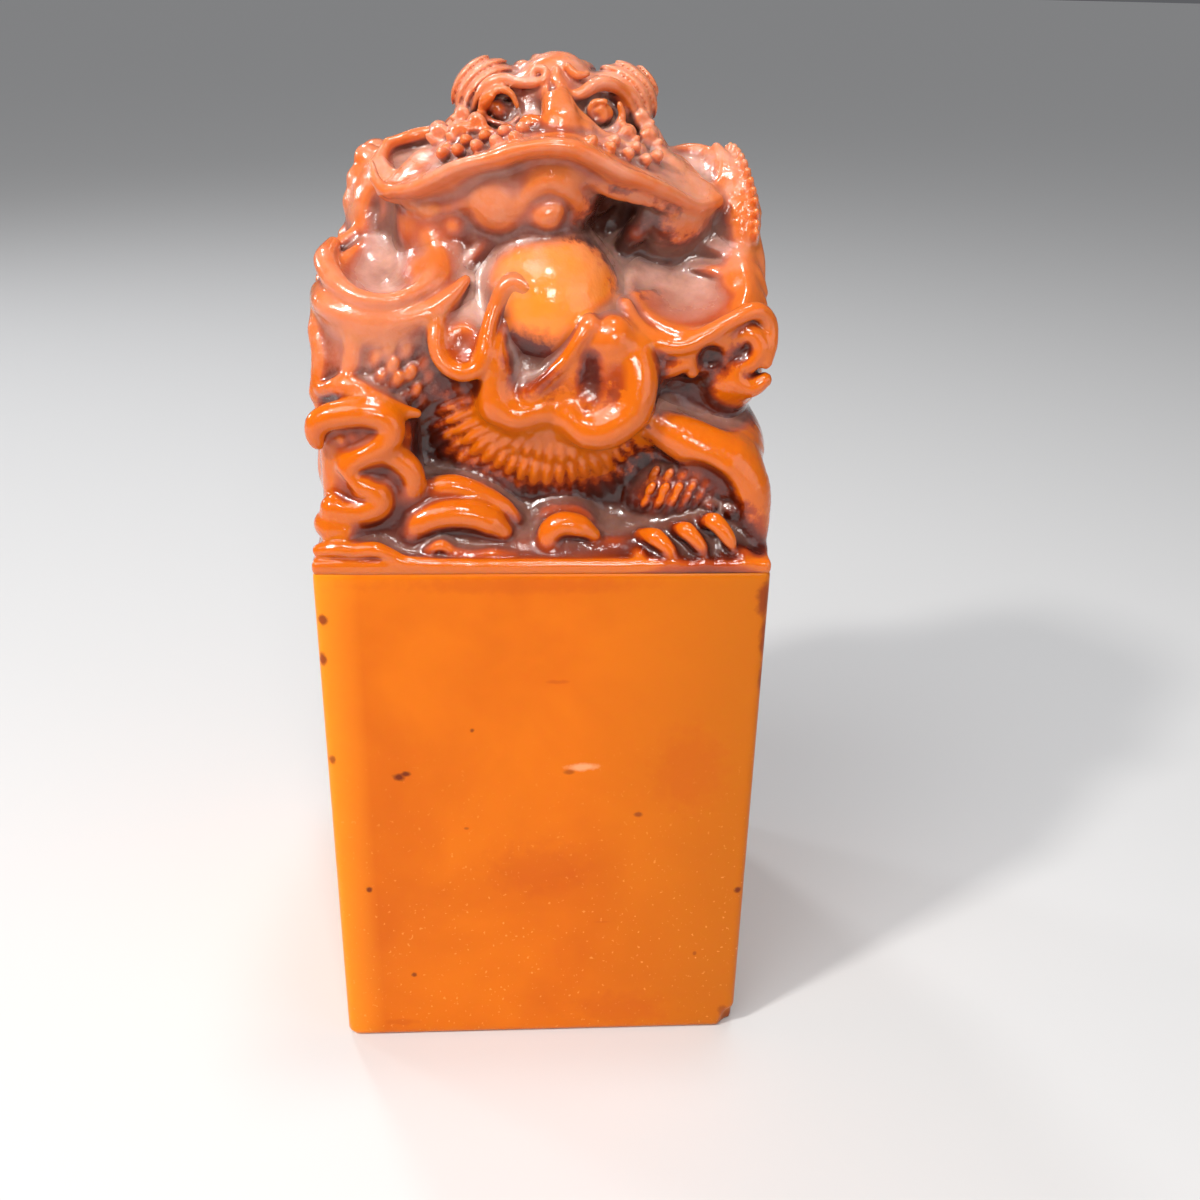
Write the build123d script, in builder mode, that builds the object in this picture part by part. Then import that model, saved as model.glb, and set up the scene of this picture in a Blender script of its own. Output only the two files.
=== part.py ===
from build123d import *
import os

os.makedirs("parts", exist_ok=True)

# Seal stamp: a square stone shaft with a dragon and cloud knob carved on top of it.
# All sizes are in millimetres. The origin is the middle of the seal face, +Z is up,
# and the dragon looks along -Y. Heights in the carving are measured from the shaft's top.
# "Front" values are distances ahead of the stamp's middle, towards the viewer, on a shaft as deep
# as the carving is laid out for. The carving follows the faces of a wider or deeper shaft.

# Shaft
block_width = 36.0
block_depth = 36.0
block_height = 47.4
block_corner = 0.5
block_ease = 0.3

# Half the width and depth that the places below are laid out for
carved_half_width = 18.0
carved_half_depth = 18.0

# Cuts run past their faces by this much
overrun = 2.0

# Carving stays this far inside the shaft's faces
carving_inset = 0.3

# Uncut mass behind the carved forms
core_side_inset = 4.5
core_front = 9.0
core_back_inset = 4.5
core_corner = 6.4
core_front_corner = 1.5
foot_spread = 2.2
foot_front = 4.5
foot_height = 4.6
foot_top = 8.2
flank_top = 15.4
shoulder_inset = 6.2
shoulder_back_inset = 6.4
shoulder_height = 21.5
neck_half_width = 10.1
neck_height = 27.2
muzzle_half_width = 7.6
core_top = 31.0
back_round_front = 1.0
back_round_low = 17.4
back_round_low_inset = 4.2
back_round_sweep = 180.0
back_round_top_radius = 8.6
nape_back = 6.4
nape_bulge_back = 9.4

# Open mouth in the front of that mass
mouth_x = 0.9
mouth_width = 15.2
mouth_floor = 13.6
mouth_spring = 23.0
mouth_crown = 29.6
mouth_depth = 4.2

# Wavy ledge under the carving
plinth_plate = 1.0
wave_rise = 0.8
wave_count = 3

# Ball in the mouth
pearl_radius = 5.7
pearl_x = 0.3
pearl_front = 9.4
pearl_height = 19.3

# Scroll that cradles the ball
cradle_span = 15.8
cradle_rise = 9.6
cradle_x = -0.4
cradle_base = 9.9
cradle_front = 16.4
pearl_window = 0.7
hollow_depth = 3.2
left_hollow_x = -0.7
left_hollow_low = 14.0
left_hollow_high = 17.0
left_hollow_low_radius = 1.0
left_hollow_high_radius = 1.9
right_hollow_x = 3.5
right_hollow_low = 13.9
right_hollow_high = 16.6
right_hollow_low_radius = 1.3
right_hollow_high_radius = 1.0
bowl_x = -6.3
bowl_height = 17.1
bowl_radius = 1.5
bowl_depth = 2.4

# Tendril that climbs over the ball
tendril_span = 3.2
tendril_rise = 5.0
tendril_x = -2.55
tendril_base = 16.6
tendril_width = 1.1
tendril_front = 15.6

# Collar of hanging scales
collar_x = 0.8
collar_height = 14.8
collar_hole_radius = 4.4
collar_first_radius = 7.2
collar_row_step = 1.35
collar_rows = 3
collar_front = 15.0
collar_front_step = 1.1
scale_tip_radius = 0.95
scale_tip_sides = 6
scale_angle = 17.0
collar_half_sweep = 91.0

# Flared upper lip
lip_span = 24.2
lip_rise = 5.6
lip_x = 0.7
lip_base = 25.6
lip_front = 14.3
lip_sweep_radius = 13.9
lip_tip_front = 2.5

# Tongue behind the ball
tongue_x = 0.9
tongue_height = 26.2
tongue_radius = 1.4
tongue_front = 9.4

# Skull
head_x = 1.0
head_width = 12.4
head_front = 6.8
head_back = 8.2
head_rise = 4.6
head_corner = 2.4
brow_line = 3.2
forehead_back = 2.4
nape_drop = 3.6
nape_run = 4.6

# Snout
snout_x = 1.1
snout_base_width = 5.2
snout_bridge_width = 1.3
snout_rise = 3.3
snout_front = 11.4
snout_tip_width = 3.6
snout_tip_bridge = 0.9
snout_tip_rise = 1.9
nostril_radius = 0.8
nostril_spacing = 3.5
nostril_height = 0.8
nostril_front = 10.5

# Brows and eyes
brow_span = 5.6
brow_rise = 1.9
brow_base = 33.3
brow_width = 0.95
brow_front = 8.2
brow_curl_radius = 0.75
left_brow_x = -3.2
right_brow_x = 4.9
eye_radius = 1.15
eye_front = 7.7
eye_ease = 0.45
eye_height = 32.8
left_eye_x = -3.2
right_eye_x = 4.6

# Crown and hair
crown_radius = 2.1
crown_x = 1.2
crown_front = 2.6
crown_sink = 0.7
tuft_radius = 2.9
tuft_front = 0.6
left_tuft_x = -4.3
left_tuft_height = 33.6
right_tuft_x = 6.5
right_tuft_height = 33.3
mane_width = 11.6
mane_top = 33.8
mane_start_back = 3.2
mane_reach_back = 14.4
mane_low = 19.4
mane_bulge = 1.7
mane_thickness = 4.4
mane_notch_width = 1.9
mane_notch_rise = 2.6
mane_locks_count = 5
mane_groove_width = 0.7
mane_groove_depth = 1.1
side_mane_drop = 7.4
side_mane_run = 6.2
side_mane_base = 27.0
side_mane_front = 2.0
side_mane_back = 7.6
side_mane_slope_start = 1.6
side_mane_slope_end = 2.8

# Scaly body at the left of the collar
flank_span = 8.6
flank_rise = 17.4
flank_x = -12.4
flank_base = 1.4
flank_front = 13.4
flank_groove_width = 0.6
flank_groove_depth = 0.8
flank_groove_count = 4
flank_groove_angle = 55.0

# Foreleg and paw at the right
leg_span = 9.0
leg_rise = 11.6
leg_x = 13.2
leg_base = 0.9
leg_front = 16.6
paw_span = 6.2
paw_rise = 4.4
paw_x = 12.0
paw_base = 2.9
paw_front = 14.8
claw_count = 3
claw_length = 4.6
claw_width = 1.1
claw_pitch = 1.9
claw_angle = 28.0
claw_first_x = 10.4
claw_height = 2.3
claw_front = 16.2

# Clouds along the foot and at the left edge
arch_span = 9.6
arch_rise = 5.2
arch_x = -6.8
arch_base = 1.2
arch_front = 16.2
arch_band = 1.2
arch_band_front = 17.4
curl_radius = 1.7
curl_band = 1.15
curl_turns = 2
far_curl_turns = 1
curl_eye_share = 0.62
curl_shrink = 0.52
curl_x = 2.0
curl_height = 2.7
curl_front = 17.2
edge_cloud_radius = 2.5
edge_cloud_x = -14.1
edge_cloud_height = 10.6
edge_cloud_band = 1.5
edge_cloud_front = 17.2
edge_bulb_radius = 1.7
edge_bulb_x = -15.6
edge_bulb_height = 3.3

# Dished clouds, each an oval cup tipped towards the viewer
left_cup_width = 9.6
left_cup_depth = 11.4
left_cup_x = -12.7
left_cup_front = 9.6
left_cup_base = 18.6
left_cup_height = 3.8
left_cup_tip = 20.0
right_cup_width = 10.6
right_cup_depth = 12.4
right_cup_x = 12.3
right_cup_front = 9.6
right_cup_base = 16.4
right_cup_height = 4.8
right_cup_tip = 28.0
upper_cup_width = 5.6
upper_cup_depth = 6.8
upper_cup_height = 3.4
upper_cup_front = 4.6
upper_cup_tip = 28.0
left_upper_cup_x = -10.7
left_upper_cup_base = 26.3
right_upper_cup_x = 12.0
right_upper_cup_base = 25.6
cup_wall = 0.7
cup_floor = 1.6
cup_flare = 22.0
dish_flare = 40.0
right_curl_radius = 2.1
right_curl_x = 14.2
right_curl_height = 13.8
right_curl_front = 15.4
right_curl_band = 1.4

# Cloud lumps at the upper left
lump_inset = 2.4
lump_backs = (1.9, 2.8, 3.0)
lump_heights = (22.9, 26.0, 28.7)
lump_radii = (2.5, 2.3, 1.7)

# Humped loop of the tail at the upper right
loop_radius = 7.4
loop_back = 2.6
loop_height = 21.6
loop_inset = 1.4
loop_ease = 1.2
fin_height = 1.1
fin_base = 1.3
loop_fin_angle = 14.0
loop_fin_count = 9
fin_side = 1.6
fin_width = 1.6

# Body that coils round the sides and the back
coil_inset = 0.6
coil_height = 12.2
coil_radius = 3.2
coil_sides = 10
coil_corner = 7.4
coil_start_front = 7.0
coil_fin_count = 13

# Clouds of the sides and the back
back_cloud_radius = 3.1
back_cloud_band = 1.7
back_cloud_height = 4.6
back_cloud_spacing = 17.0
side_cloud_back = 3.0

# Outlines, as shares of each form's own span and rise, from the middle of its foot
cradle_share = [(-0.34, 0.96), (-0.49, 0.72), (-0.28, 0.47), (-0.22, 0.18), (0.08, 0.16),
                (0.27, 0.0), (0.46, 0.28), (0.49, 0.66), (0.38, 1.0)]
tendril_share = [(-0.5, 0.0), (-0.24, 0.56), (0.5, 1.0)]
lip_crest_share = [(-0.5, 0.36), (-0.40, 0.44), (-0.26, 0.74), (-0.12, 0.93), (0.0, 1.0),
                   (0.11, 0.93), (0.24, 0.64), (0.38, 0.42), (0.45, 0.30), (0.5, 0.44)]
lip_edge_share = [(0.48, 0.06), (0.38, 0.08), (0.27, 0.24), (0.14, 0.44), (0.07, 0.68), (-0.01, 0.82),
                  (-0.08, 0.68), (-0.12, 0.52), (-0.24, 0.38), (-0.36, 0.22), (-0.47, 0.18)]
brow_share = [(-0.5, 0.0), (-0.15, 0.80), (0.38, 0.86)]
flank_share = [(-0.5, 0.0), (0.42, 0.0), (0.5, 0.42), (0.5, 0.92), (0.3, 1.0), (-0.34, 1.0), (-0.5, 0.9)]
leg_share = [(-0.5, 1.0), (-0.2, 0.90), (0.18, 0.76), (0.5, 0.70), (0.5, 0.0), (0.30, 0.0),
             (0.28, 0.42), (0.06, 0.60), (-0.22, 0.72), (-0.5, 0.84)]
paw_share = [(-0.5, 0.1), (-0.30, 0.74), (0.1, 1.0), (0.46, 0.70), (0.4, 0.0)]
claw_share = [(-0.5, 0.0), (-0.1, 0.5), (0.5, 0.4), (0.5, -0.4), (-0.1, -0.5)]
arch_share = [(-0.5, 0.0), (-0.36, 0.80), (0.0, 0.98), (0.34, 0.80), (0.5, 0.0)]
arch_band_share = [(-0.36, 0.10), (-0.06, 0.62), (0.38, 0.36)]
side_mane_share = [(-0.1, 0.98), (0.28, 0.92), (0.46, 0.52), (0.78, 0.46), (1.0, 0.0)]

reach_x = block_width / 2 - carving_inset
reach_y = block_depth / 2 - carving_inset
side_shift = block_width / 2 - carved_half_width
front_shift = block_depth / 2 - carved_half_depth
core_half_width = block_width / 2 - core_side_inset
core_back = block_depth / 2 - core_back_inset
core_face = core_front + front_shift


def front_at(front):
    """Sketch plane facing the viewer, a distance ahead of the middle, with Y as height."""
    return Plane(origin=(0, -(front + front_shift), block_height), x_dir=(1, 0, 0), z_dir=(0, -1, 0))


def back_at(back):
    """Sketch plane facing away from the viewer, behind the middle."""
    return Plane(origin=(0, back, block_height), x_dir=(-1, 0, 0), z_dir=(0, 1, 0))


def right_at(reach):
    """Sketch plane facing right, with X running to the back and Y as height."""
    return Plane(origin=(reach, 0, block_height), x_dir=(0, 1, 0), z_dir=(1, 0, 0))


def left_at(reach):
    """Sketch plane facing left, with X running to the front and Y as height."""
    return Plane(origin=(-reach, 0, block_height), x_dir=(0, -1, 0), z_dir=(-1, 0, 0))


def beside(place):
    """A place at the left or right that moves out with the shaft's sides."""
    return place + (side_shift if place > 0 else -side_shift)


def outline(shares, span, rise, middle, base):
    """Points of an outline from shares of its span and rise."""
    return [(middle + across * span, base + up * rise) for across, up in shares]


def clear_of(*neighbours):
    """Cut the piece being made back to the faces of pieces that are already made."""
    for neighbour in neighbours:
        add(neighbour.part, mode=Mode.SUBTRACT)


def save(piece, name):
    """Label a finished piece and write it out."""
    piece.part.label = name
    export_step(piece.part, "parts/" + name + ".step")


def ribbon(points, width):
    """A ribbon of even width with round ends, along arcs through each three points in turn."""
    with BuildSketch(Plane.XY, mode=Mode.PRIVATE) as strip:
        for first in range(0, len(points) - 2, 2):
            with BuildLine(mode=Mode.PRIVATE) as arc:
                ThreePointArc(*points[first:first + 3])
            SlotArc(arc.line.edge(), width)
    return strip.sketch


def scroll(plane, middle, height, radius, band, depth, turns=curl_turns, mirrored=False):
    """A cloud curl: half rings that shrink as they turn, ending in a round eye."""
    hand = -1 if mirrored else 1
    with BuildPart() as curl:
        with BuildSketch(plane):
            start, turn, ring = middle + hand * radius, 1, radius
            for step in range(turns):
                centre = start - hand * ring
                with BuildSketch(mode=Mode.PRIVATE) as half:
                    with Locations((centre, height)):
                        Circle(ring + band / 2)
                        Circle(ring - band / 2, mode=Mode.SUBTRACT)
                    with Locations((centre, height + turn * radius)):
                        Rectangle(4 * radius, 2 * radius, mode=Mode.INTERSECT)
                add(half.sketch)
                start = centre - hand * ring
                hand, turn, ring = -hand, -turn, ring * curl_shrink + band * (1 - curl_shrink) / 2
            with Locations((start, height)):
                Circle(band * curl_eye_share)
        extrude(amount=-depth)
    return curl


def cup(middle, front, base, width, depth, height, tip):
    """An oval cup with a dished floor, flaring upwards and tipped towards the viewer."""
    plane = Plane(origin=(middle, -(front + front_shift), block_height + base), z_dir=(0, 0, 1))
    plane = plane.rotated((tip, 0, 0))
    with BuildPart() as bowl:
        with BuildSketch(plane.offset(height)):
            SlotOverall(depth, width, rotation=90)
        extrude(amount=-height, taper=cup_flare)
        with BuildSketch(plane.offset(height)):
            SlotOverall(depth - 2 * cup_wall, width - 2 * cup_wall, rotation=90)
        extrude(amount=-(height - cup_floor), taper=dish_flare, mode=Mode.SUBTRACT)
    return bowl


# The shaft, with its seal face left plain

with BuildPart() as seal_block:
    with BuildSketch() as shaft_plan:
        Rectangle(block_width, block_depth)
        chamfer(shaft_plan.vertices(), block_corner)
    extrude(amount=block_height)
    chamfer(seal_block.faces().sort_by(Axis.Z)[-1].edges(), block_ease)
    chamfer(seal_block.faces().sort_by(Axis.Z)[0].edges(), block_ease)
save(seal_block, "seal_block")


# The uncut mass: one outline seen from the front, one from the side and one from above

foot_half_width = core_half_width + foot_spread
foot_face = core_face + foot_front
foot_back_reach = core_back + foot_spread
shoulder_half_width = block_width / 2 - shoulder_inset
shoulder_back = block_depth / 2 - shoulder_back_inset

with BuildPart() as knob_core:
    with BuildSketch(front_at(core_front + foot_front)):
        with BuildLine():
            for hand in (1, -1):
                Polyline((0, 0), (hand * foot_half_width, 0), (hand * foot_half_width, foot_height),
                         (hand * core_half_width, foot_top), (hand * core_half_width, flank_top),
                         (hand * shoulder_half_width, shoulder_height))
                ThreePointArc((hand * shoulder_half_width, shoulder_height),
                              (hand * neck_half_width, neck_height), (hand * muzzle_half_width, core_top))
            Line((muzzle_half_width, core_top), (-muzzle_half_width, core_top))
        make_face()
    extrude(amount=-(foot_face + foot_back_reach))
    with BuildSketch(right_at(0)):
        with BuildLine():
            Polyline((shoulder_back, shoulder_height), (core_back, flank_top), (core_back, foot_top),
                     (foot_back_reach, foot_height), (foot_back_reach, 0), (-foot_face, 0),
                     (-foot_face, foot_height), (-core_face, foot_top), (-core_face, core_top),
                     (nape_back, core_top))
            ThreePointArc((nape_back, core_top), (nape_bulge_back, neck_height),
                          (shoulder_back, shoulder_height))
        make_face()
    extrude(amount=block_width, both=True, mode=Mode.INTERSECT)
    with BuildSketch(Plane.XY.offset(block_height)) as core_plan:
        with Locations((0, (foot_back_reach - foot_face) / 2)):
            Rectangle(2 * foot_half_width, foot_face + foot_back_reach)
        fillet(core_plan.vertices().group_by(Axis.Y)[-1], core_corner)
        fillet(core_plan.vertices().group_by(Axis.Y)[0], core_front_corner)
    extrude(amount=core_top, mode=Mode.INTERSECT)
    # The shoulders and the nape are round behind: a cone takes their two corners off
    round_plane = Plane(origin=(0, -back_round_front, block_height), x_dir=(1, 0, 0), z_dir=(0, -1, 0))
    with BuildSketch(round_plane):
        Polygon((block_width / 2 - back_round_low_inset, back_round_low), (block_width, back_round_low),
                (block_width, core_top + overrun), (back_round_top_radius, core_top + overrun), align=None)
    revolve(axis=Axis((0, -back_round_front, 0), (0, 0, 1)), revolution_arc=back_round_sweep,
            mode=Mode.SUBTRACT)
    with BuildSketch(front_at(core_front + overrun)):
        with BuildLine():
            left, right = mouth_x - mouth_width / 2, mouth_x + mouth_width / 2
            Polyline((left, mouth_spring), (left, mouth_floor), (right, mouth_floor), (right, mouth_spring))
            ThreePointArc((left, mouth_spring), (mouth_x, mouth_crown), (right, mouth_spring))
        make_face()
    extrude(amount=-(mouth_depth + overrun), mode=Mode.SUBTRACT)
save(knob_core, "knob_core")


# The wavy ledge: low waves run along all four sides

def wave_outline(span):
    """A plate's outline with a row of low waves on its top edge."""
    pitch = span / wave_count
    Polyline((-span / 2, plinth_plate), (-span / 2, 0), (span / 2, 0), (span / 2, plinth_plate))
    for index in range(wave_count):
        start = -span / 2 + index * pitch
        crest = (start + pitch / 2, plinth_plate + wave_rise)
        ThreePointArc((start, plinth_plate), crest, (start + pitch, plinth_plate))


with BuildPart() as cloud_plinth:
    with BuildSketch(front_at(reach_y)):
        with BuildLine():
            wave_outline(2 * reach_x)
        make_face()
    extrude(amount=-2 * reach_y)
    with BuildSketch(right_at(reach_x)):
        with BuildLine():
            wave_outline(2 * reach_y)
        make_face()
    extrude(amount=-2 * reach_x, mode=Mode.INTERSECT)
    clear_of(knob_core)
save(cloud_plinth, "cloud_plinth")


# The ball, seated flat against the back of the mouth

with BuildPart() as pearl:
    with Locations((pearl_x, -(pearl_front + front_shift), block_height + pearl_height)):
        Sphere(pearl_radius)
    clear_of(knob_core)
save(pearl, "pearl")


# The cradle: a scrolling lower lip with a curled bowl at the left and two drop-shaped hollows

with BuildPart() as pearl_scroll:
    with BuildSketch(front_at(cradle_front)):
        with BuildLine():
            rim = outline(cradle_share, cradle_span, cradle_rise, cradle_x, cradle_base)
            for first in range(0, len(rim) - 2, 2):
                ThreePointArc(*rim[first:first + 3])
            Line(rim[-1], rim[0])
        make_face()
        with Locations((pearl_x, pearl_height)):
            Circle(pearl_radius - pearl_window, mode=Mode.SUBTRACT)
    extrude(amount=-(cradle_front - core_front + mouth_depth))
    with BuildSketch(front_at(cradle_front)):
        with Locations((left_hollow_x, left_hollow_low)):
            Circle(left_hollow_low_radius)
        with Locations((left_hollow_x, left_hollow_high)):
            Circle(left_hollow_high_radius)
        make_hull()
    extrude(amount=-hollow_depth, mode=Mode.SUBTRACT)
    with BuildSketch(front_at(cradle_front)):
        with Locations((right_hollow_x, right_hollow_low)):
            Circle(right_hollow_low_radius)
        with Locations((right_hollow_x, right_hollow_high)):
            Circle(right_hollow_high_radius)
        make_hull()
    extrude(amount=-hollow_depth, mode=Mode.SUBTRACT)
    with BuildSketch(front_at(cradle_front)):
        with Locations((bowl_x, bowl_height)):
            Circle(bowl_radius)
    extrude(amount=-bowl_depth, mode=Mode.SUBTRACT)
    clear_of(knob_core, pearl)
save(pearl_scroll, "pearl_scroll")


# The tendril follows the cradle's left ridge and hooks over the ball

with BuildPart() as pearl_tendril:
    with BuildSketch(front_at(tendril_front)):
        route = outline(tendril_share, tendril_span, tendril_rise, tendril_x, tendril_base)
        add(ribbon(route, tendril_width))
    extrude(amount=-(tendril_front - pearl_front))
    clear_of(pearl, pearl_scroll, knob_core)
save(pearl_tendril, "pearl_tendril")


# The collar: rows of rounded scales hang round the cradle, each row set back from the last

with BuildPart() as chest_collar:
    for row in range(collar_rows):
        row_radius = collar_first_radius + row * collar_row_step
        row_front = collar_front - row * collar_front_step
        scales = int(2 * collar_half_sweep / scale_angle)
        first = -90 - (scales - 1 - row % 2) * scale_angle / 2
        with BuildSketch(front_at(row_front)):
            with Locations((collar_x, collar_height)):
                Circle(row_radius)
            with Locations((collar_x, collar_height)):
                with PolarLocations(row_radius, scales - row % 2, first, (scales - 1 - row % 2) * scale_angle,
                                    endpoint=True):
                    RegularPolygon(scale_tip_radius, scale_tip_sides)
            with Locations((collar_x, collar_height)):
                Circle(collar_hole_radius, mode=Mode.SUBTRACT)
            with Locations((collar_x, collar_height + 2 * row_radius)):
                Rectangle(6 * row_radius, 4 * row_radius, mode=Mode.SUBTRACT)
        extrude(amount=-(row_front - core_front + overrun))
    clear_of(knob_core, pearl, pearl_scroll, pearl_tendril, cloud_plinth)
save(chest_collar, "chest_collar")


# The foreleg band and the paw tucked under it

with BuildPart() as right_foreleg:
    with BuildSketch(front_at(leg_front)):
        with BuildLine():
            Polyline(*outline(leg_share, leg_span, leg_rise, beside(leg_x), leg_base), close=True)
        make_face()
    extrude(amount=-(leg_front - core_front + overrun))
    clear_of(knob_core, pearl_scroll, chest_collar, cloud_plinth)
save(right_foreleg, "right_foreleg")

with BuildPart() as right_paw:
    with BuildSketch(front_at(paw_front)):
        with BuildLine():
            rim = outline(paw_share, paw_span, paw_rise, beside(paw_x), paw_base)
            for first in range(0, len(rim) - 2, 2):
                ThreePointArc(*rim[first:first + 3])
            Line(rim[-1], rim[0])
        make_face()
    extrude(amount=-(paw_front - core_front + overrun))
    for index in range(claw_count):
        with BuildSketch(front_at(claw_front)):
            with Locations((beside(claw_first_x) + index * claw_pitch, claw_height)):
                Polygon(*outline(claw_share, claw_length, claw_width, 0, 0), rotation=claw_angle, align=None)
        extrude(amount=-(claw_front - core_front + overrun))
    clear_of(knob_core, right_foreleg, chest_collar, cloud_plinth)
save(right_paw, "right_paw")


# Clouds along the foot

with BuildPart() as front_arch_cloud:
    with BuildSketch(front_at(arch_front)):
        with BuildLine():
            rim = outline(arch_share, arch_span, arch_rise, arch_x, arch_base)
            for first in range(0, len(rim) - 2, 2):
                ThreePointArc(*rim[first:first + 3])
            Line(rim[-1], rim[0])
        make_face()
    extrude(amount=-(arch_front - core_front + overrun))
    with BuildSketch(front_at(arch_band_front)):
        add(ribbon(outline(arch_band_share, arch_span, arch_rise, arch_x, arch_base), arch_band))
    extrude(amount=-(arch_band_front - arch_front + overrun))
    clear_of(knob_core, chest_collar, cloud_plinth)
save(front_arch_cloud, "front_arch_cloud")

curl = scroll(front_at(curl_front), curl_x, curl_height, curl_radius, curl_band, curl_front - core_front)
with BuildPart() as front_curl_cloud:
    add(curl.part)
    clear_of(knob_core, chest_collar, cloud_plinth, front_arch_cloud, right_paw)
save(front_curl_cloud, "front_curl_cloud")

with BuildPart() as left_flank:
    with BuildSketch(front_at(flank_front)):
        with BuildLine():
            Polyline(*outline(flank_share, flank_span, flank_rise, beside(flank_x), flank_base), close=True)
        make_face()
    extrude(amount=-(flank_front - core_front + overrun))
    groove_pitch = flank_rise / (flank_groove_count + 1)
    with BuildSketch(front_at(flank_front)):
        for index in range(flank_groove_count):
            with Locations((beside(flank_x), flank_base + (index + 1) * groove_pitch)):
                Rectangle(2 * flank_span, flank_groove_width, rotation=flank_groove_angle)
    extrude(amount=-flank_groove_depth, mode=Mode.SUBTRACT)
    clear_of(knob_core, pearl_scroll, chest_collar, front_arch_cloud, cloud_plinth)
save(left_flank, "left_flank")

scroll_x = beside(edge_cloud_x)
bulb_x = beside(edge_bulb_x)
curl = scroll(front_at(edge_cloud_front), scroll_x, edge_cloud_height, edge_cloud_radius, edge_cloud_band,
              edge_cloud_front - flank_front + flank_groove_depth, mirrored=True)
with BuildPart() as left_cloud_scroll:
    add(curl.part)
    with BuildSketch(front_at(edge_cloud_front)):
        stem_start = (scroll_x - edge_cloud_radius, edge_cloud_height)
        stem_middle = (scroll_x - edge_cloud_radius / 2, (edge_cloud_height + edge_bulb_height) / 2)
        add(ribbon([stem_start, stem_middle, (bulb_x, edge_bulb_height)], edge_cloud_band))
        with Locations((bulb_x, edge_bulb_height)):
            Circle(edge_bulb_radius)
    extrude(amount=-(edge_cloud_front - flank_front + flank_groove_depth))
    clear_of(knob_core, cloud_plinth, front_arch_cloud, chest_collar, left_flank)
save(left_cloud_scroll, "left_cloud_scroll")


# Dished clouds at both sides of the mouth

left_bowl = cup(beside(left_cup_x), left_cup_front, left_cup_base, left_cup_width, left_cup_depth,
                left_cup_height, left_cup_tip)
with BuildPart() as left_cloud_cup:
    add(left_bowl.part)
    clear_of(knob_core, pearl_scroll, pearl, pearl_tendril, left_flank, left_cloud_scroll)
save(left_cloud_cup, "left_cloud_cup")

right_bowl = cup(beside(right_cup_x), right_cup_front, right_cup_base, right_cup_width, right_cup_depth,
                 right_cup_height, right_cup_tip)
with BuildPart() as right_cloud_cup:
    add(right_bowl.part)
    clear_of(knob_core, pearl_scroll, pearl)
save(right_cloud_cup, "right_cloud_cup")

curl = scroll(front_at(right_curl_front), beside(right_curl_x), right_curl_height, right_curl_radius,
              right_curl_band, right_curl_front - core_front, mirrored=True)
with BuildPart() as right_curl_cloud:
    add(curl.part)
    clear_of(knob_core, right_cloud_cup, right_foreleg, chest_collar, pearl_scroll)
save(right_curl_cloud, "right_curl_cloud")


# The upper lip: its front outline, swept round in plan

with BuildPart() as upper_lip:
    with BuildSketch(front_at(lip_front)):
        with BuildLine():
            crest = outline(lip_crest_share, lip_span, lip_rise, lip_x, lip_base)
            edge = outline(lip_edge_share, lip_span, lip_rise, lip_x, lip_base)
            Spline(*crest)
            Spline(*edge)
            Line(crest[-1], edge[0])
            Line(edge[-1], crest[0])
        make_face()
    extrude(amount=-(lip_front - lip_tip_front))
    with BuildSketch(Plane.XY.offset(block_height + lip_base - overrun)):
        with Locations((lip_x, lip_sweep_radius - lip_front - front_shift)):
            Circle(lip_sweep_radius)
    extrude(amount=lip_rise + 2 * overrun, mode=Mode.INTERSECT)
    clear_of(knob_core)
save(upper_lip, "upper_lip")

with BuildPart() as tongue:
    with BuildSketch(front_at(tongue_front)):
        with Locations((tongue_x, tongue_height)):
            Circle(tongue_radius)
    extrude(amount=-(tongue_front - core_front + mouth_depth + overrun))
    clear_of(knob_core, pearl, upper_lip)
save(tongue, "tongue")


# The skull: a rounded front outline crossed with a sloping side outline

head_top = core_top + head_rise
head_face_front = head_front + front_shift
with BuildPart() as dragon_head:
    with BuildSketch(front_at(head_front)) as head_face:
        with Locations((head_x, core_top + head_rise / 2)):
            Rectangle(head_width, head_rise)
        fillet(head_face.vertices().group_by(Axis.Y)[-1], head_corner)
    extrude(amount=-(head_face_front + head_back))
    with BuildSketch(right_at(0)):
        with BuildLine():
            Polyline((-head_face_front, core_top + brow_line), (-head_face_front, core_top),
                     (head_back, core_top), (head_back, head_top - nape_drop),
                     (head_back - nape_run, head_top), (-head_face_front + forehead_back, head_top),
                     close=True)
        make_face()
    extrude(amount=block_width, both=True, mode=Mode.INTERSECT)
    clear_of(upper_lip)
save(dragon_head, "dragon_head")


def snout_outline(bridge, base, rise):
    """Corners of a trapezium standing on the muzzle."""
    return [(snout_x - base / 2, core_top), (snout_x + base / 2, core_top),
            (snout_x + bridge / 2, core_top + rise), (snout_x - bridge / 2, core_top + rise)]


with BuildPart() as snout:
    with BuildSketch(front_at(head_front)):
        with BuildLine():
            Polyline(*snout_outline(snout_bridge_width, snout_base_width, snout_rise), close=True)
        make_face()
    with BuildSketch(front_at(snout_front)):
        with BuildLine():
            Polyline(*snout_outline(snout_tip_bridge, snout_tip_width, snout_tip_rise), close=True)
        make_face()
    loft(ruled=True)
    for side in (-1, 1):
        with BuildSketch(front_at(nostril_front)):
            with Locations((snout_x + side * nostril_spacing / 2, core_top + nostril_height)):
                Circle(nostril_radius)
        extrude(amount=-(nostril_front - head_front))
    clear_of(dragon_head, upper_lip, knob_core)
save(snout, "snout")


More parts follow.
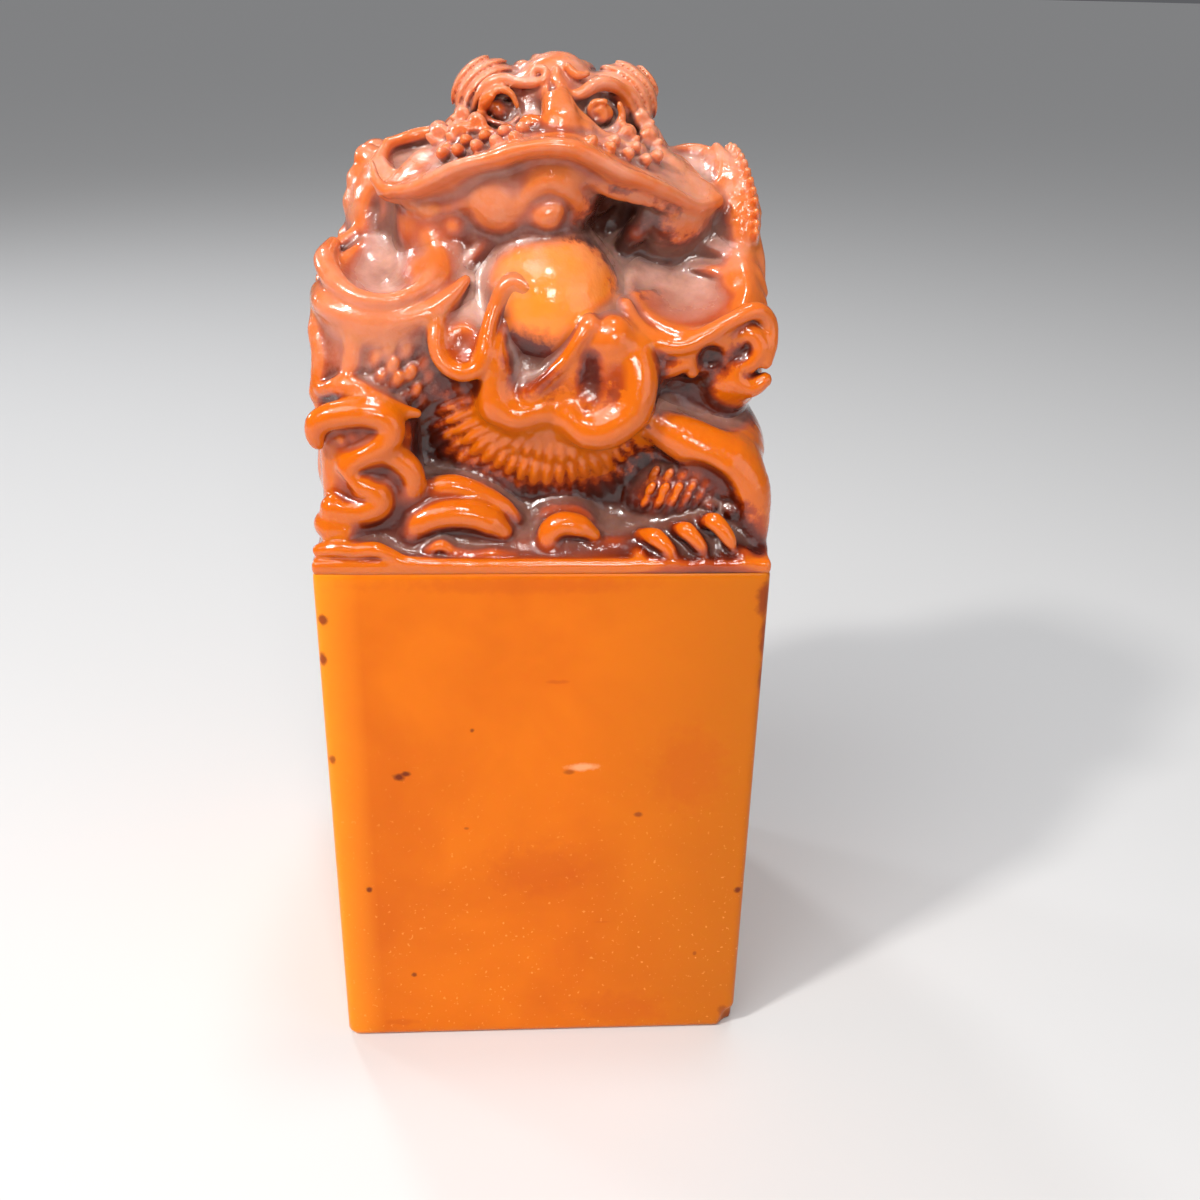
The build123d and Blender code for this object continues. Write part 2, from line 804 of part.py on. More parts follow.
def brow(middle, hand):
    """A ridge that rises from the temple and ends in a curl beside the bridge of the nose."""
    shares = [(hand * across, up) for across, up in brow_share]
    ridge = outline(shares, brow_span, brow_rise, middle, brow_base)
    with BuildPart() as piece:
        with BuildSketch(front_at(brow_front)):
            add(ribbon(ridge, brow_width))
            with Locations(ridge[-1]):
                Circle(brow_curl_radius)
        extrude(amount=-(brow_front - head_front + forehead_back))
        clear_of(dragon_head, snout)
    return piece


left_brow = brow(left_brow_x, 1)
save(left_brow, "left_brow")
right_brow = brow(right_brow_x, -1)
save(right_brow, "right_brow")


def ball(middle, front, height, radius, *neighbours):
    """A round form standing out of the pieces that carry it."""
    with BuildPart() as piece:
        with Locations((middle, -(front + front_shift), block_height + height)):
            Sphere(radius)
        clear_of(*neighbours)
    return piece


def eye(middle, *neighbours):
    """A round eye that bulges from the face, with a bevelled rim."""
    with BuildPart() as piece:
        with BuildSketch(front_at(eye_front)):
            with Locations((middle, eye_height)):
                Circle(eye_radius)
        extrude(amount=-eye_front)
        chamfer(piece.faces().sort_by(Axis.Y)[0].edges(), eye_ease)
        clear_of(*neighbours)
    return piece


left_eye = eye(left_eye_x, dragon_head, snout, left_brow)
save(left_eye, "left_eye")
right_eye = eye(right_eye_x, dragon_head, snout, right_brow)
save(right_eye, "right_eye")
crown_boss = ball(crown_x, crown_front, head_top - crown_sink, crown_radius, dragon_head, left_brow,
                  right_brow, knob_core)
save(crown_boss, "crown_boss")
left_mane_tuft = ball(left_tuft_x, tuft_front, left_tuft_height, tuft_radius, dragon_head, left_brow,
                      knob_core)
save(left_mane_tuft, "left_mane_tuft")
right_mane_tuft = ball(right_tuft_x, tuft_front, right_tuft_height, tuft_radius, dragon_head, right_brow,
                       knob_core)
save(right_mane_tuft, "right_mane_tuft")


# The mane: locks flow back from the crown and down the nape

with BuildPart() as mane_locks:
    with BuildSketch(right_at(head_x - mane_width / 2)):
        with BuildLine():
            top_start = (mane_start_back, mane_top)
            low_end = (mane_reach_back, mane_low)
            bend = ((mane_start_back + mane_reach_back) / 2 + mane_bulge,
                    (mane_top + mane_low) / 2 + mane_bulge)
            ThreePointArc(top_start, bend, low_end)
            Polyline(low_end, (mane_reach_back - mane_thickness, mane_low), (mane_start_back, core_top),
                     top_start)
        make_face()
    extrude(amount=mane_width)
    lock_pitch = mane_width / mane_locks_count
    for index in range(1, mane_locks_count):
        with BuildSketch(Plane.XY.offset(block_height + mane_low - overrun)):
            groove_x = head_x - mane_width / 2 + index * lock_pitch
            with Locations((groove_x, mane_reach_back)):
                Rectangle(mane_groove_width, 2 * mane_groove_depth)
        extrude(amount=mane_top - mane_low + 2 * overrun, mode=Mode.SUBTRACT)
    with BuildSketch(back_at(mane_reach_back + overrun)):
        for index in range(mane_locks_count + 1):
            notch_x = mane_width / 2 - head_x - index * lock_pitch
            with Locations((notch_x, mane_low)):
                Polygon((-mane_notch_width / 2, -overrun), (mane_notch_width / 2, -overrun),
                        (0, mane_notch_rise), align=None)
    extrude(amount=-(mane_reach_back + overrun), mode=Mode.SUBTRACT)
    clear_of(knob_core, dragon_head, left_mane_tuft, right_mane_tuft, crown_boss)
save(mane_locks, "mane_locks")


def side_mane(hand, *neighbours):
    """Hair that falls from behind a tuft over the shoulder, in two locks."""
    inner = head_x + hand * head_width / 2
    shares = [(hand * across, up) for across, up in side_mane_share]
    rim = outline(shares, side_mane_run, side_mane_drop, inner, side_mane_base)
    with BuildPart() as piece:
        with BuildSketch(front_at(side_mane_front)):
            with BuildLine():
                for first in range(0, len(rim) - 2, 2):
                    ThreePointArc(*rim[first:first + 3])
                Polyline(rim[-1], (inner - hand * overrun, side_mane_base),
                         (inner - hand * overrun, rim[0][1]), rim[0])
            make_face()
        extrude(amount=-(side_mane_front + side_mane_back))
        with BuildSketch(right_at(0)):
            front_end, back_end = -side_mane_front - front_shift, side_mane_back - front_shift
            top = side_mane_base + side_mane_drop
            Polygon((front_end, side_mane_base), (front_end, top), (side_mane_slope_start - front_shift, top),
                    (back_end, side_mane_base + side_mane_slope_end), (back_end, side_mane_base), align=None)
        extrude(amount=block_width, both=True, mode=Mode.INTERSECT)
        clear_of(*neighbours)
    return piece


left_mane = side_mane(-1, knob_core, dragon_head, left_mane_tuft, upper_lip, mane_locks)
save(left_mane, "left_mane")
right_mane = side_mane(1, knob_core, dragon_head, right_mane_tuft, upper_lip, mane_locks)
save(right_mane, "right_mane")


# The small dished clouds beside the cheeks

left_bowl = cup(left_upper_cup_x, upper_cup_front, left_upper_cup_base, upper_cup_width, upper_cup_depth,
                upper_cup_height, upper_cup_tip)
with BuildPart() as left_upper_cup:
    add(left_bowl.part)
    clear_of(knob_core, upper_lip, dragon_head, left_mane_tuft, left_mane)
save(left_upper_cup, "left_upper_cup")

right_bowl = cup(right_upper_cup_x, upper_cup_front, right_upper_cup_base, upper_cup_width, upper_cup_depth,
                 upper_cup_height, upper_cup_tip)
with BuildPart() as right_upper_cup:
    add(right_bowl.part)
    clear_of(knob_core, upper_lip, dragon_head, right_mane_tuft, right_mane)
save(right_upper_cup, "right_upper_cup")


# Cloud lumps at the left and the finned loop of the tail at the right

lump_reach = block_width / 2 - lump_inset
with BuildPart() as left_cloud_lumps:
    with BuildSketch(left_at(lump_reach)):
        for height, radius, back in zip(lump_heights, lump_radii, lump_backs):
            with Locations((-back, height)):
                Circle(radius)
    extrude(amount=-(lump_reach - neck_half_width + overrun))
    clear_of(knob_core, left_cloud_cup, left_upper_cup, mane_locks, left_mane)
save(left_cloud_lumps, "left_cloud_lumps")

loop_reach = block_width / 2 - loop_inset
with BuildPart() as tail_loop:
    with BuildSketch(right_at(loop_reach)):
        with Locations((loop_back, loop_height)):
            Circle(loop_radius)
        with Locations((loop_back, loop_height - loop_radius)):
            Rectangle(4 * loop_radius, 2 * loop_radius, mode=Mode.SUBTRACT)
    extrude(amount=-(loop_reach - neck_half_width + overrun))
    chamfer(tail_loop.faces().sort_by(Axis.X)[-1].edges(), loop_ease)
    with BuildSketch(right_at(loop_reach - loop_ease)):
        with Locations((loop_back, loop_height)):
            with PolarLocations(loop_radius, loop_fin_count, 90 - (loop_fin_count - 1) * loop_fin_angle / 2,
                                (loop_fin_count - 1) * loop_fin_angle, endpoint=True):
                Triangle(c=fin_base, a=fin_side, b=fin_side, rotation=-90)
    extrude(amount=-fin_width)
    clear_of(knob_core, upper_lip, right_cloud_cup, right_upper_cup, mane_locks, right_mane)
save(tail_loop, "tail_loop")


# The body coils low round the right side, the back and the left side

coil_side = block_width / 2 - coil_inset - coil_radius
coil_back = block_depth / 2 - coil_inset - coil_radius
with BuildPart() as body_coil:
    with BuildLine(Plane.XY.offset(block_height + coil_height)) as coil_line:
        FilletPolyline((coil_side, -coil_start_front), (coil_side, coil_back), (-coil_side, coil_back),
                       (-coil_side, -coil_start_front), radius=coil_corner)
    with BuildSketch(Plane(origin=(coil_side, -coil_start_front, block_height + coil_height),
                           x_dir=(1, 0, 0), z_dir=(0, -1, 0))):
        RegularPolygon(coil_radius, coil_sides)
    sweep(path=coil_line.line)
    for index in range(coil_fin_count):
        place = coil_line.line @ ((index + 1) / (coil_fin_count + 1))
        along = coil_line.line % ((index + 1) / (coil_fin_count + 1))
        fin_plane = Plane(origin=(place.X, place.Y, block_height + coil_height + coil_radius), x_dir=along,
                          z_dir=along.cross(Vector(0, 0, 1)))
        with BuildSketch(fin_plane.offset(-fin_width / 2)):
            Polygon((-fin_base, -fin_height), (fin_base, -fin_height), (fin_base, fin_height), align=None)
        extrude(amount=fin_width)
    clear_of(knob_core, tail_loop, left_cloud_lumps, left_cloud_cup, right_cloud_cup, left_flank,
             right_foreleg, mane_locks)
save(body_coil, "body_coil")


# Clouds of the back and the sides

cloud_depth = reach_y - core_back
for name, hand in (("back_right_cloud", -1), ("back_left_cloud", 1)):
    curl = scroll(back_at(reach_y), hand * back_cloud_spacing / 2, back_cloud_height, back_cloud_radius,
                  back_cloud_band, cloud_depth, turns=far_curl_turns, mirrored=hand < 0)
    with BuildPart() as back_cloud:
        add(curl.part)
        clear_of(knob_core, cloud_plinth, body_coil)
    save(back_cloud, name)

for name, side_at, hand in (("right_side_cloud", right_at, 1), ("left_side_cloud", left_at, -1)):
    curl = scroll(side_at(reach_x), hand * side_cloud_back, back_cloud_height, back_cloud_radius,
                  back_cloud_band, reach_x - core_half_width, turns=far_curl_turns, mirrored=hand < 0)
    with BuildPart() as side_cloud:
        add(curl.part)
        clear_of(knob_core, cloud_plinth, body_coil, right_foreleg, left_cloud_scroll)
    save(side_cloud, name)
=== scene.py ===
import math

import bpy
import numpy as np
from mathutils import Euler, Matrix, Vector


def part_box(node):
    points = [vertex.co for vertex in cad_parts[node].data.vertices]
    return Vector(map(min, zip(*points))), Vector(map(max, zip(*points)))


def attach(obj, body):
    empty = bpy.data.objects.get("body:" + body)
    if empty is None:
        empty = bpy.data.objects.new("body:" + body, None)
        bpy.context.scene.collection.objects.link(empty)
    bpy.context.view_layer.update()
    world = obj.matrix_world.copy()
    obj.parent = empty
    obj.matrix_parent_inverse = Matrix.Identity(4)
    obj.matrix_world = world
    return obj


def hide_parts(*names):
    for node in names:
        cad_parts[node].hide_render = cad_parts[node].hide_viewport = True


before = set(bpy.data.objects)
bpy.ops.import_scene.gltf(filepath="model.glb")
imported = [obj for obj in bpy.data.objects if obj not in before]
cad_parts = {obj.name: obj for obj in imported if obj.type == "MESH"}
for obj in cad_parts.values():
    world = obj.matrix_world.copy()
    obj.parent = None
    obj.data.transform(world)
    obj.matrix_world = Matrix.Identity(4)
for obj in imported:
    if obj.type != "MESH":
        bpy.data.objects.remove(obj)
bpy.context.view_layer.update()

# The knob is carved in millimetres from the middle of the shaft's top: x to the right, y to the
# back and h upwards. One such millimetre is the shaft's width over 36, so the carving follows it.
shaft_low, shaft_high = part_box("seal_block")
shaft_width = 36.0
MM = (shaft_high.x - shaft_low.x) / shaft_width
shaft_height = (shaft_high.z - shaft_low.z) / MM
half_width = shaft_width / 2

# The distance taken where no form is near, and the pitch of the clay
FAR = 9.0
GRAIN = 0.18


# Clay: distances on a grid, with forms added to it and cut from it

def least(a, b, soft):
    """The smaller of two distances, with the crease between them filled over the width soft."""
    if soft <= 0:
        return np.minimum(a, b)
    blend = np.maximum(soft - np.abs(a - b), 0) / soft
    return np.minimum(a, b) - blend * blend * soft / 4


class Clay:
    """A box of space on a grid, each point with its distance from the surface, negative in the stone."""

    def __init__(self, low, high, pitch):
        self.pitch = pitch
        self.first = [math.floor(a / pitch) for a in low]
        last = [math.ceil(b / pitch) for b in high]
        self.axes = [np.arange(a, b + 1, dtype=np.float32) * np.float32(pitch)
                     for a, b in zip(self.first, last)]
        self.field = np.full([len(axis) for axis in self.axes], FAR, np.float32)

    def window(self, low, high, margin):
        """The part of the grid that a box with a margin round it covers."""
        cuts = tuple(slice(*np.searchsorted(axis, (a - margin, b + margin)))
                     for axis, a, b in zip(self.axes, low, high))
        x, y, z = (axis[cut] for axis, cut in zip(self.axes, cuts))
        return cuts, (x[:, None, None], y[None, :, None], z[None, None, :])

    def put(self, form, soft=0.35):
        """Add a form, filling the crease round it."""
        low, high, distance = form
        cuts, grid = self.window(low, high, soft + 1)
        if self.field[cuts].size:
            self.field[cuts] = least(self.field[cuts], distance(*grid), soft)

    def cut(self, form, soft=0.25):
        """Cut a form away, easing the edge round it."""
        low, high, distance = form
        cuts, grid = self.window(low, high, soft + 1)
        if self.field[cuts].size:
            self.field[cuts] = -least(-self.field[cuts], distance(*grid), soft)

    def press(self, low, high, amount):
        """Raise the surface inside a box by amount(x, y, z)."""
        cuts, grid = self.window(low, high, 0)
        if self.field[cuts].size:
            self.field[cuts] = self.field[cuts] - amount(*grid)

    def skin(self):
        """Surface nets: a point in each cell that the surface crosses, a face over each crossed edge."""
        field = np.pad(self.field, 1, constant_values=FAR)
        inside = field < 0
        cells = tuple(n - 1 for n in field.shape)
        total = np.zeros(cells, np.uint8)
        for i in (0, 1):
            for j in (0, 1):
                for k in (0, 1):
                    total += inside[i:i + cells[0], j:j + cells[1], k:k + cells[2]]
        active = (total > 0) & (total < 8)
        number = np.full(cells, -1, np.int32)
        spots = np.argwhere(active)
        number[active] = np.arange(len(spots))
        sums = np.zeros((len(spots), 3), np.float32)
        count = np.zeros(len(spots), np.float32)
        for axis in range(3):
            step = np.eye(3, dtype=int)[axis]
            others = [a for a in range(3) if a != axis]
            for p in (0, 1):
                for q in (0, 1):
                    corner = np.zeros(3, int)
                    corner[others[0]], corner[others[1]] = p, q
                    near = field[tuple((spots + corner).T)]
                    far = field[tuple((spots + corner + step).T)]
                    crossed = (near < 0) != (far < 0)
                    share = near[crossed] / (near[crossed] - far[crossed])
                    sums[crossed] += corner + share[:, None] * step
                    count[crossed] += 1
        places = spots + sums / count[:, None]
        start = np.array([axis[0] for axis in self.axes]) - self.pitch
        points = start + self.pitch * places
        faces = []
        for axis in range(3):
            others = [a for a in range(3) if a != axis]
            near_cut, far_cut = [slice(1, -1)] * 3, [slice(1, -1)] * 3
            near_cut[axis], far_cut[axis] = slice(0, -1), slice(1, None)
            near, far = inside[tuple(near_cut)], inside[tuple(far_cut)]
            for rising in (True, False):
                edges = np.argwhere((near & ~far) if rising else (~near & far))
                edges[:, others] += 1
                ring = []
                for p, q in ((-1, -1), (0, -1), (0, 0), (-1, 0)):
                    cell = edges.copy()
                    cell[:, others[0]] += p
                    cell[:, others[1]] += q
                    ring.append(number[tuple(cell.T)])
                if rising == (axis == 1):
                    ring.reverse()
                faces.append(np.stack(ring, 1))
        return points, np.concatenate(faces)


def sample(axes, values, points, outside):
    """Values of a grid at points, weighed between the nearest eight."""
    start = np.array([axis[0] for axis in axes])
    pitch = axes[0][1] - axes[0][0]
    place = (points - start) / pitch
    top = np.array(values.shape) - 1
    within = np.all((place >= 0) & (place <= top), axis=1)
    place = np.clip(place, 0, top - 1e-4)
    base = place.astype(int)
    share = place - base
    result = np.zeros(len(points))
    for i in (0, 1):
        for j in (0, 1):
            for k in (0, 1):
                weight = np.prod(np.where((i, j, k), share, 1 - share), axis=1)
                result += weight * values[base[:, 0] + i, base[:, 1] + j, base[:, 2] + k]
    return np.where(within, result, outside)


def closed_skins(points, faces, least_volume=0.6):
    """Only skins that close round some stone, so that no pocket or crumb is left."""
    label = np.arange(len(points))
    pairs = np.concatenate([faces[:, [0, 1]], faces[:, [1, 2]], faces[:, [2, 3]]])
    while True:
        low = np.minimum(label[pairs[:, 0]], label[pairs[:, 1]])
        fresh = label.copy()
        np.minimum.at(fresh, pairs[:, 0], low)
        np.minimum.at(fresh, pairs[:, 1], low)
        fresh = fresh[fresh]
        if np.array_equal(fresh, label):
            break
        label = fresh
    a, b, c, d = (points[faces[:, k]] for k in range(4))
    volume = np.einsum("ij,ij->i", (a + b + c + d) / 4, np.cross(c - a, d - b)) / 6
    kept = np.bincount(label[faces[:, 0]], volume, len(points))[label] > least_volume
    number = np.cumsum(kept) - 1
    return points[kept], number[faces[kept[faces[:, 0]]]]


# Forms: each gives its box and a distance

def ball(centre, radii, turn=(0, 0, 0)):
    centre, radii = np.array(centre, float), np.broadcast_to(np.array(radii, float), 3)
    axes = np.array(Euler([math.radians(a) for a in turn]).to_matrix())

    def distance(x, y, z):
        x, y, z = x - centre[0], y - centre[1], z - centre[2]
        near = far = 0
        for k in range(3):
            local = axes[0, k] * x + axes[1, k] * y + axes[2, k] * z
            near = near + (local / radii[k]) ** 2
            far = far + (local / radii[k] ** 2) ** 2
        near = np.sqrt(near)
        return near * (near - 1) / (np.sqrt(far) + 1e-6)
    reach = np.sqrt((axes ** 2 @ radii ** 2))
    return centre - reach, centre + reach, distance


def unit(v):
    """The same direction with a length of 1."""
    return v / np.linalg.norm(v)


def curve(points, closed=False, steps=6):
    """A smooth curve through points."""
    points = np.array(points, float)
    if closed:
        ring = np.concatenate([points[-1:], points, points[:2]])
    else:
        ring = np.concatenate([2 * points[:1] - points[1:2], points, 2 * points[-1:] - points[-2:-1]])
    result = []
    for a, b, c, d in zip(ring, ring[1:], ring[2:], ring[3:]):
        for t in np.arange(steps) / steps:
            result.append(0.5 * (2 * b + (c - a) * t + (2 * a - 5 * b + 4 * c - d) * t ** 2
                                 + (3 * b - a - 3 * c + d) * t ** 3))
    if not closed:
        result.append(points[-1])
    return np.array(result)


cord_margin = 1.6


def cord(points, radii, stretch=(1, 1, 1), steps=5):
    """A round bar along a smooth curve, its radius running evenly between the radii given."""
    stretch = np.array(stretch, float)
    line = curve(points, steps=steps)
    radii = np.atleast_1d(np.array(radii, float))
    widths = np.interp(np.linspace(0, 1, len(line)), np.linspace(0, 1, len(radii)), radii)
    line_s = line * stretch

    def distance(x, y, z):
        result = np.full(np.broadcast_shapes(x.shape, y.shape, z.shape), FAR, np.float32)
        flat = (x.ravel(), y.ravel(), z.ravel())
        for a, b, ra, rb in zip(line_s, line_s[1:], widths, widths[1:]):
            reach = max(ra, rb) + cord_margin
            cuts = tuple(slice(*np.searchsorted(axis * s, (min(p, q) - reach * s, max(p, q) + reach * s)))
                         for axis, p, q, s in zip(flat, a, b, stretch))
            if not result[cuts].size:
                continue
            dx = flat[0][cuts[0]][:, None, None] * stretch[0] - a[0]
            dy = flat[1][cuts[1]][None, :, None] * stretch[1] - a[1]
            dz = flat[2][cuts[2]][None, None, :] * stretch[2] - a[2]
            run = b - a
            share = np.clip((dx * run[0] + dy * run[1] + dz * run[2]) / (run @ run + 1e-9), 0, 1)
            gap = np.sqrt((dx - share * run[0]) ** 2 + (dy - share * run[1]) ** 2
                          + (dz - share * run[2]) ** 2)
            result[cuts] = np.minimum(result[cuts], gap - (ra + share * (rb - ra)))
        return result
    reach = widths.max()
    return line.min(0) - reach, line.max(0) + reach, distance


def outline_distance(points, u, v):
    """Distance to a closed outline, negative inside."""
    nearest = np.full(np.broadcast_shapes(u.shape, v.shape), np.inf)
    sign = np.ones(nearest.shape)
    for (ax, ay), (bx, by) in zip(points, np.roll(points, -1, axis=0)):
        ex, ey = bx - ax, by - ay
        wx, wy = u - ax, v - ay
        share = np.clip((wx * ex + wy * ey) / (ex * ex + ey * ey + 1e-12), 0, 1)
        nearest = np.minimum(nearest, (wx - share * ex) ** 2 + (wy - share * ey) ** 2)
        above, below = v >= ay, v < by
        left = ex * wy > ey * wx
        flip = (above & below & left) | (~above & ~below & ~left)
        sign = np.where(flip, -sign, sign)
    return sign * np.sqrt(nearest)


def slab(points, start, stop, ease):
    """A plate from start to stop in depth, with a smooth front outline of (x, h)."""
    ring = curve(points, closed=True, steps=5)
    middle, half = (start + stop) / 2, (stop - start) / 2

    def distance(x, y, z):
        flat = outline_distance(ring, x, z) + ease
        thick = np.abs(y - middle) - half + ease
        return (np.minimum(np.maximum(flat, thick), 0)
                + np.sqrt(np.maximum(flat, 0) ** 2 + np.maximum(thick, 0) ** 2) - ease)
    low, high = ring.min(0), ring.max(0)
    return np.array((low[0], start, low[1])), np.array((high[0], stop, high[1])), distance


def crate(low, high, ease):
    """A box with round edges."""
    low, high = np.array(low, float), np.array(high, float)
    middle, half = (low + high) / 2, (high - low) / 2 - ease

    def distance(x, y, z):
        gx, gy, gz = (np.abs(v - m) - h for v, m, h in zip((x, y, z), middle, half))
        outside = np.sqrt(np.maximum(gx, 0) ** 2 + np.maximum(gy, 0) ** 2 + np.maximum(gz, 0) ** 2)
        return outside + np.minimum(np.maximum(np.maximum(gx, gy), gz), 0) - ease
    return low, high, distance


def front(points, y):
    """Points of (x, h) on a plane that faces the viewer; y is one value or one for each point."""
    places = np.broadcast_to(np.array(y, float), len(points))
    return [(x, place, h) for (x, h), place in zip(points, places)]


def side(points, x):
    """Points of (y, h) on a plane that faces sideways."""
    return [(x, y, h) for y, h in points]


def spiral(middle, outer, inner, start, turns, count):
    """Points of a spiral about (u, v), angles in degrees; a negative turn runs clockwise."""
    angles = np.radians(start) + 2 * math.pi * turns * np.linspace(0, 1, count)
    radii = outer + (inner - outer) * np.linspace(0, 1, count)
    return [(middle[0] + r * math.cos(a), middle[1] + r * math.sin(a)) for a, r in zip(angles, radii)]


def scale_rows(u, v):
    """Height of lapping scales: u runs across in scale widths, v from root to tip in rows."""
    height = 0
    for back in (0, 1):
        row = np.floor(v) - back
        shift = 0.5 * np.mod(row, 2)
        du = np.mod(u - shift, 1) - 0.5
        dv = v - row
        rim = np.sqrt((du * 1.7) ** 2 + (dv * 0.85) ** 2)
        height = np.maximum(height, np.where(rim < 1, 0.35 + 0.65 * dv / 2 - 0.25 * (1 - rim), 0))
    return height


def scaled_cord(clay, line, radius, across, along, deep, start, stop):
    """Press lapping scales round a bar, fading out towards its ends and away from its surface."""
    end_fade, skin_fade = 1.5, 0.4
    track = curve(line, steps=4)
    lengths = np.concatenate([[0], np.cumsum(np.linalg.norm(np.diff(track, axis=0), axis=1))])
    near = np.full(clay.field.shape, 99.0, np.float32)
    place, turn = np.zeros(clay.field.shape, np.float32), np.zeros(clay.field.shape, np.float32)
    for a, b, length in zip(track, track[1:], lengths):
        cuts, (x, y, z) = clay.window(np.minimum(a, b), np.maximum(a, b), radius + 1.5)
        run = b - a
        size = np.linalg.norm(run)
        run = run / size
        out = unit(np.cross(run, (0, 0, 1)))
        up = np.cross(out, run)
        dx, dy, dz = x - a[0], y - a[1], z - a[2]
        s = np.clip(dx * run[0] + dy * run[1] + dz * run[2], 0, size)
        gx, gy, gz = dx - s * run[0], dy - s * run[1], dz - s * run[2]
        gap = np.sqrt(gx ** 2 + gy ** 2 + gz ** 2)
        better = gap < near[cuts]
        near[cuts] = np.where(better, gap, near[cuts])
        place[cuts] = np.where(better, length + s, place[cuts])
        turn[cuts] = np.where(better, np.arctan2(gx * up[0] + gy * up[1] + gz * up[2],
                                                 gx * out[0] + gy * out[1] + gz * out[2]), turn[cuts])
    rise = scale_rows(turn * radius / across, place / along)
    edge = (np.clip((place - start) / end_fade, 0, 1)
            * np.clip((lengths[-1] - stop - place) / end_fade, 0, 1))
    body = (np.clip((radius + 0.7 - near) / skin_fade, 0, 1)
            * np.clip((near - radius + 1.0) / skin_fade, 0, 1))
    clay.field -= (deep * (rise - 0.3) * edge * body).astype(np.float32)


def bulge(u, v, middle, half):
    """How high an oval stands at a place: 1 over its middle, 0 at its outline, less outside."""
    return 1 - ((u - middle[0]) / half[0]) ** 2 - ((v - middle[1]) / half[1]) ** 2


# The carving, region by region

clays, nodes_of = {}, {}


def region(name, low, high, *nodes, pitch=GRAIN):
    """Carve a region in its own box of clay; its skin stands for the nodes named."""
    def made(carve):
        clays[name], nodes_of[name] = Clay(low, high, pitch), nodes
        carve(clays[name])
        return carve
    return made


@region("pearl_ball", (-8, -17, 11.5), (8.5, -2.5, 26.5), "pearl")
def carve_pearl(clay):
    x, h, halo_radius = 0.3, 19.3, 5.75
    clay.put(ball((x, -9.4, h), 5.7), 0)
    halo = [(x + halo_radius * math.cos(a), -8.7, h + halo_radius * math.sin(a))
            for a in np.radians(range(5, 190, 15))]
    clay.put(cord(halo, (0.2, 0.42, 0.5, 0.42, 0.2)), 0.6)


@region("pearl_cradle", (-10, -17.8, 8.2), (9.6, -6, 23.6), "pearl_scroll", "pearl_tendril")
def carve_cradle(clay):
    rim = [
        (-4.7, 17), (-4.7, 14.4), (-4.5, 12.2), (-3.6, 10.9), (-1.8, 10.6), (0.2, 11.1), (1.6, 10.4),
        (3.4, 9.6), (5.4, 10), (6.9, 11.9), (7.6, 14.6), (7, 17), (5.6, 18.7), (3.9, 18.4), (1.2, 17),
        (-1.6, 16.8)]
    clay.put(slab(rim, -15.6, -8.5, 1.7), 0)
    clay.put(cord(front([
        (7, 16.6), (7.2, 14.4), (6.6, 12.2), (5, 10.9), (3.4, 10.7), (2, 11.6)],
        (-14.2, -14.8, -15.2, -15.4, -15.4, -15.2)), (1.2, 1.5, 1.6, 1.6, 1.5, 1.2)), 1)
    clay.put(ball((5.2, -14.3, 17.6), (1.5, 1.5, 1.6)), 0.8)
    clay.put(cord(front([(-3.6, 12.6), (-2.2, 11.8), (-0.4, 12.1)], -15), (1.3, 1.4, 1.2)), 1)
    # The small bowl at the left
    clay.put(ball((-6, -12.4, 16.6), (2.6, 3.2, 2.4)), 0.8)
    clay.put(cord([
        (-3, -7.6, 24.4), (-4.6, -7.8, 23.4), (-5.7, -8.2, 21.8), (-6.2, -9.4, 20), (-6.2, -11.6, 18.2)],
        (0.5, 0.8, 1, 1.2, 1.7)), 0.8)
    clay.put(cord([
        (-7.2, -12.9, 19.4), (-7.9, -14.2, 18.4), (-8, -15, 17), (-7.4, -15.4, 15.8),
        (-6.2, -15.6, 15.2), (-5, -15.6, 15.5), (-4.4, -15.5, 16.6)],
        (0.5, 0.6, 0.62, 0.65, 0.7, 0.65, 0.5)), 0.6)
    clay.cut(ball((-6.1, -16.3, 17.6), (1.3, 1.7, 1.6), (0, 20, 0)), 0.7)
    # Two hollows shaped like drops
    clay.cut(cord([
        (-1.7, -16.9, 13.9), (-0.9, -16.3, 15.9), (-0.4, -15.6, 18)], (1.1, 1.85, 2.3), (1, 0.8, 1)), 0.6)
    clay.cut(cord([
        (3.3, -17, 12.9), (3.4, -16.7, 14.6), (3.5, -15.9, 16.2)], (0.9, 1.05, 0.8), (1, 0.7, 1)), 0.6)
    clay.put(ball((-1.2, -14.9, 13.9), (0.8, 0.6, 0.7)), 0.4)
    clay.put(ball((3.3, -15.3, 12.9), (0.6, 0.5, 0.6)), 0.4)
    # Tendril over the ball, and the ridge between the hollows
    clay.put(cord([
        (-3.8, -15, 12.2), (-3.9, -15.3, 14.2), (-3.5, -15, 16.6), (-3.2, -14.2, 18.4)],
        (0.9, 0.8, 0.6, 0.35)), 0.7)
    clay.put(cord([
        (-4.9, -15.5, 15.6), (-4.4, -15.3, 16.8), (-4.1, -14.7, 18.4), (-3.6, -14.2, 19.9),
        (-3, -14, 21.1), (-2.2, -14, 21.6), (-1.4, -14.3, 21.2)],
        (0.6, 0.6, 0.58, 0.55, 0.6, 0.55, 0.4)), 0.35)
    clay.put(cord([
        (3.4, -14.8, 18.6), (2.6, -15.2, 17.6), (1.6, -15.4, 16.2), (0.4, -15.6, 15), (-0.9, -15.5, 13.7)],
        (0.62, 0.48, 0.46, 0.5, 0.65)), 0.5)
    clay.put(ball((3.5, -14.8, 18.7), (0.65, 0.6, 0.6)), 0.3)


def chest_depth(x, h):
    """How far forward the chest bulges at a place of the front view."""
    inside = bulge(x, h, (0.4, 12.4), (13.4, 11.4))
    return -5.4 - 9.3 * math.sqrt(max(inside, 0))


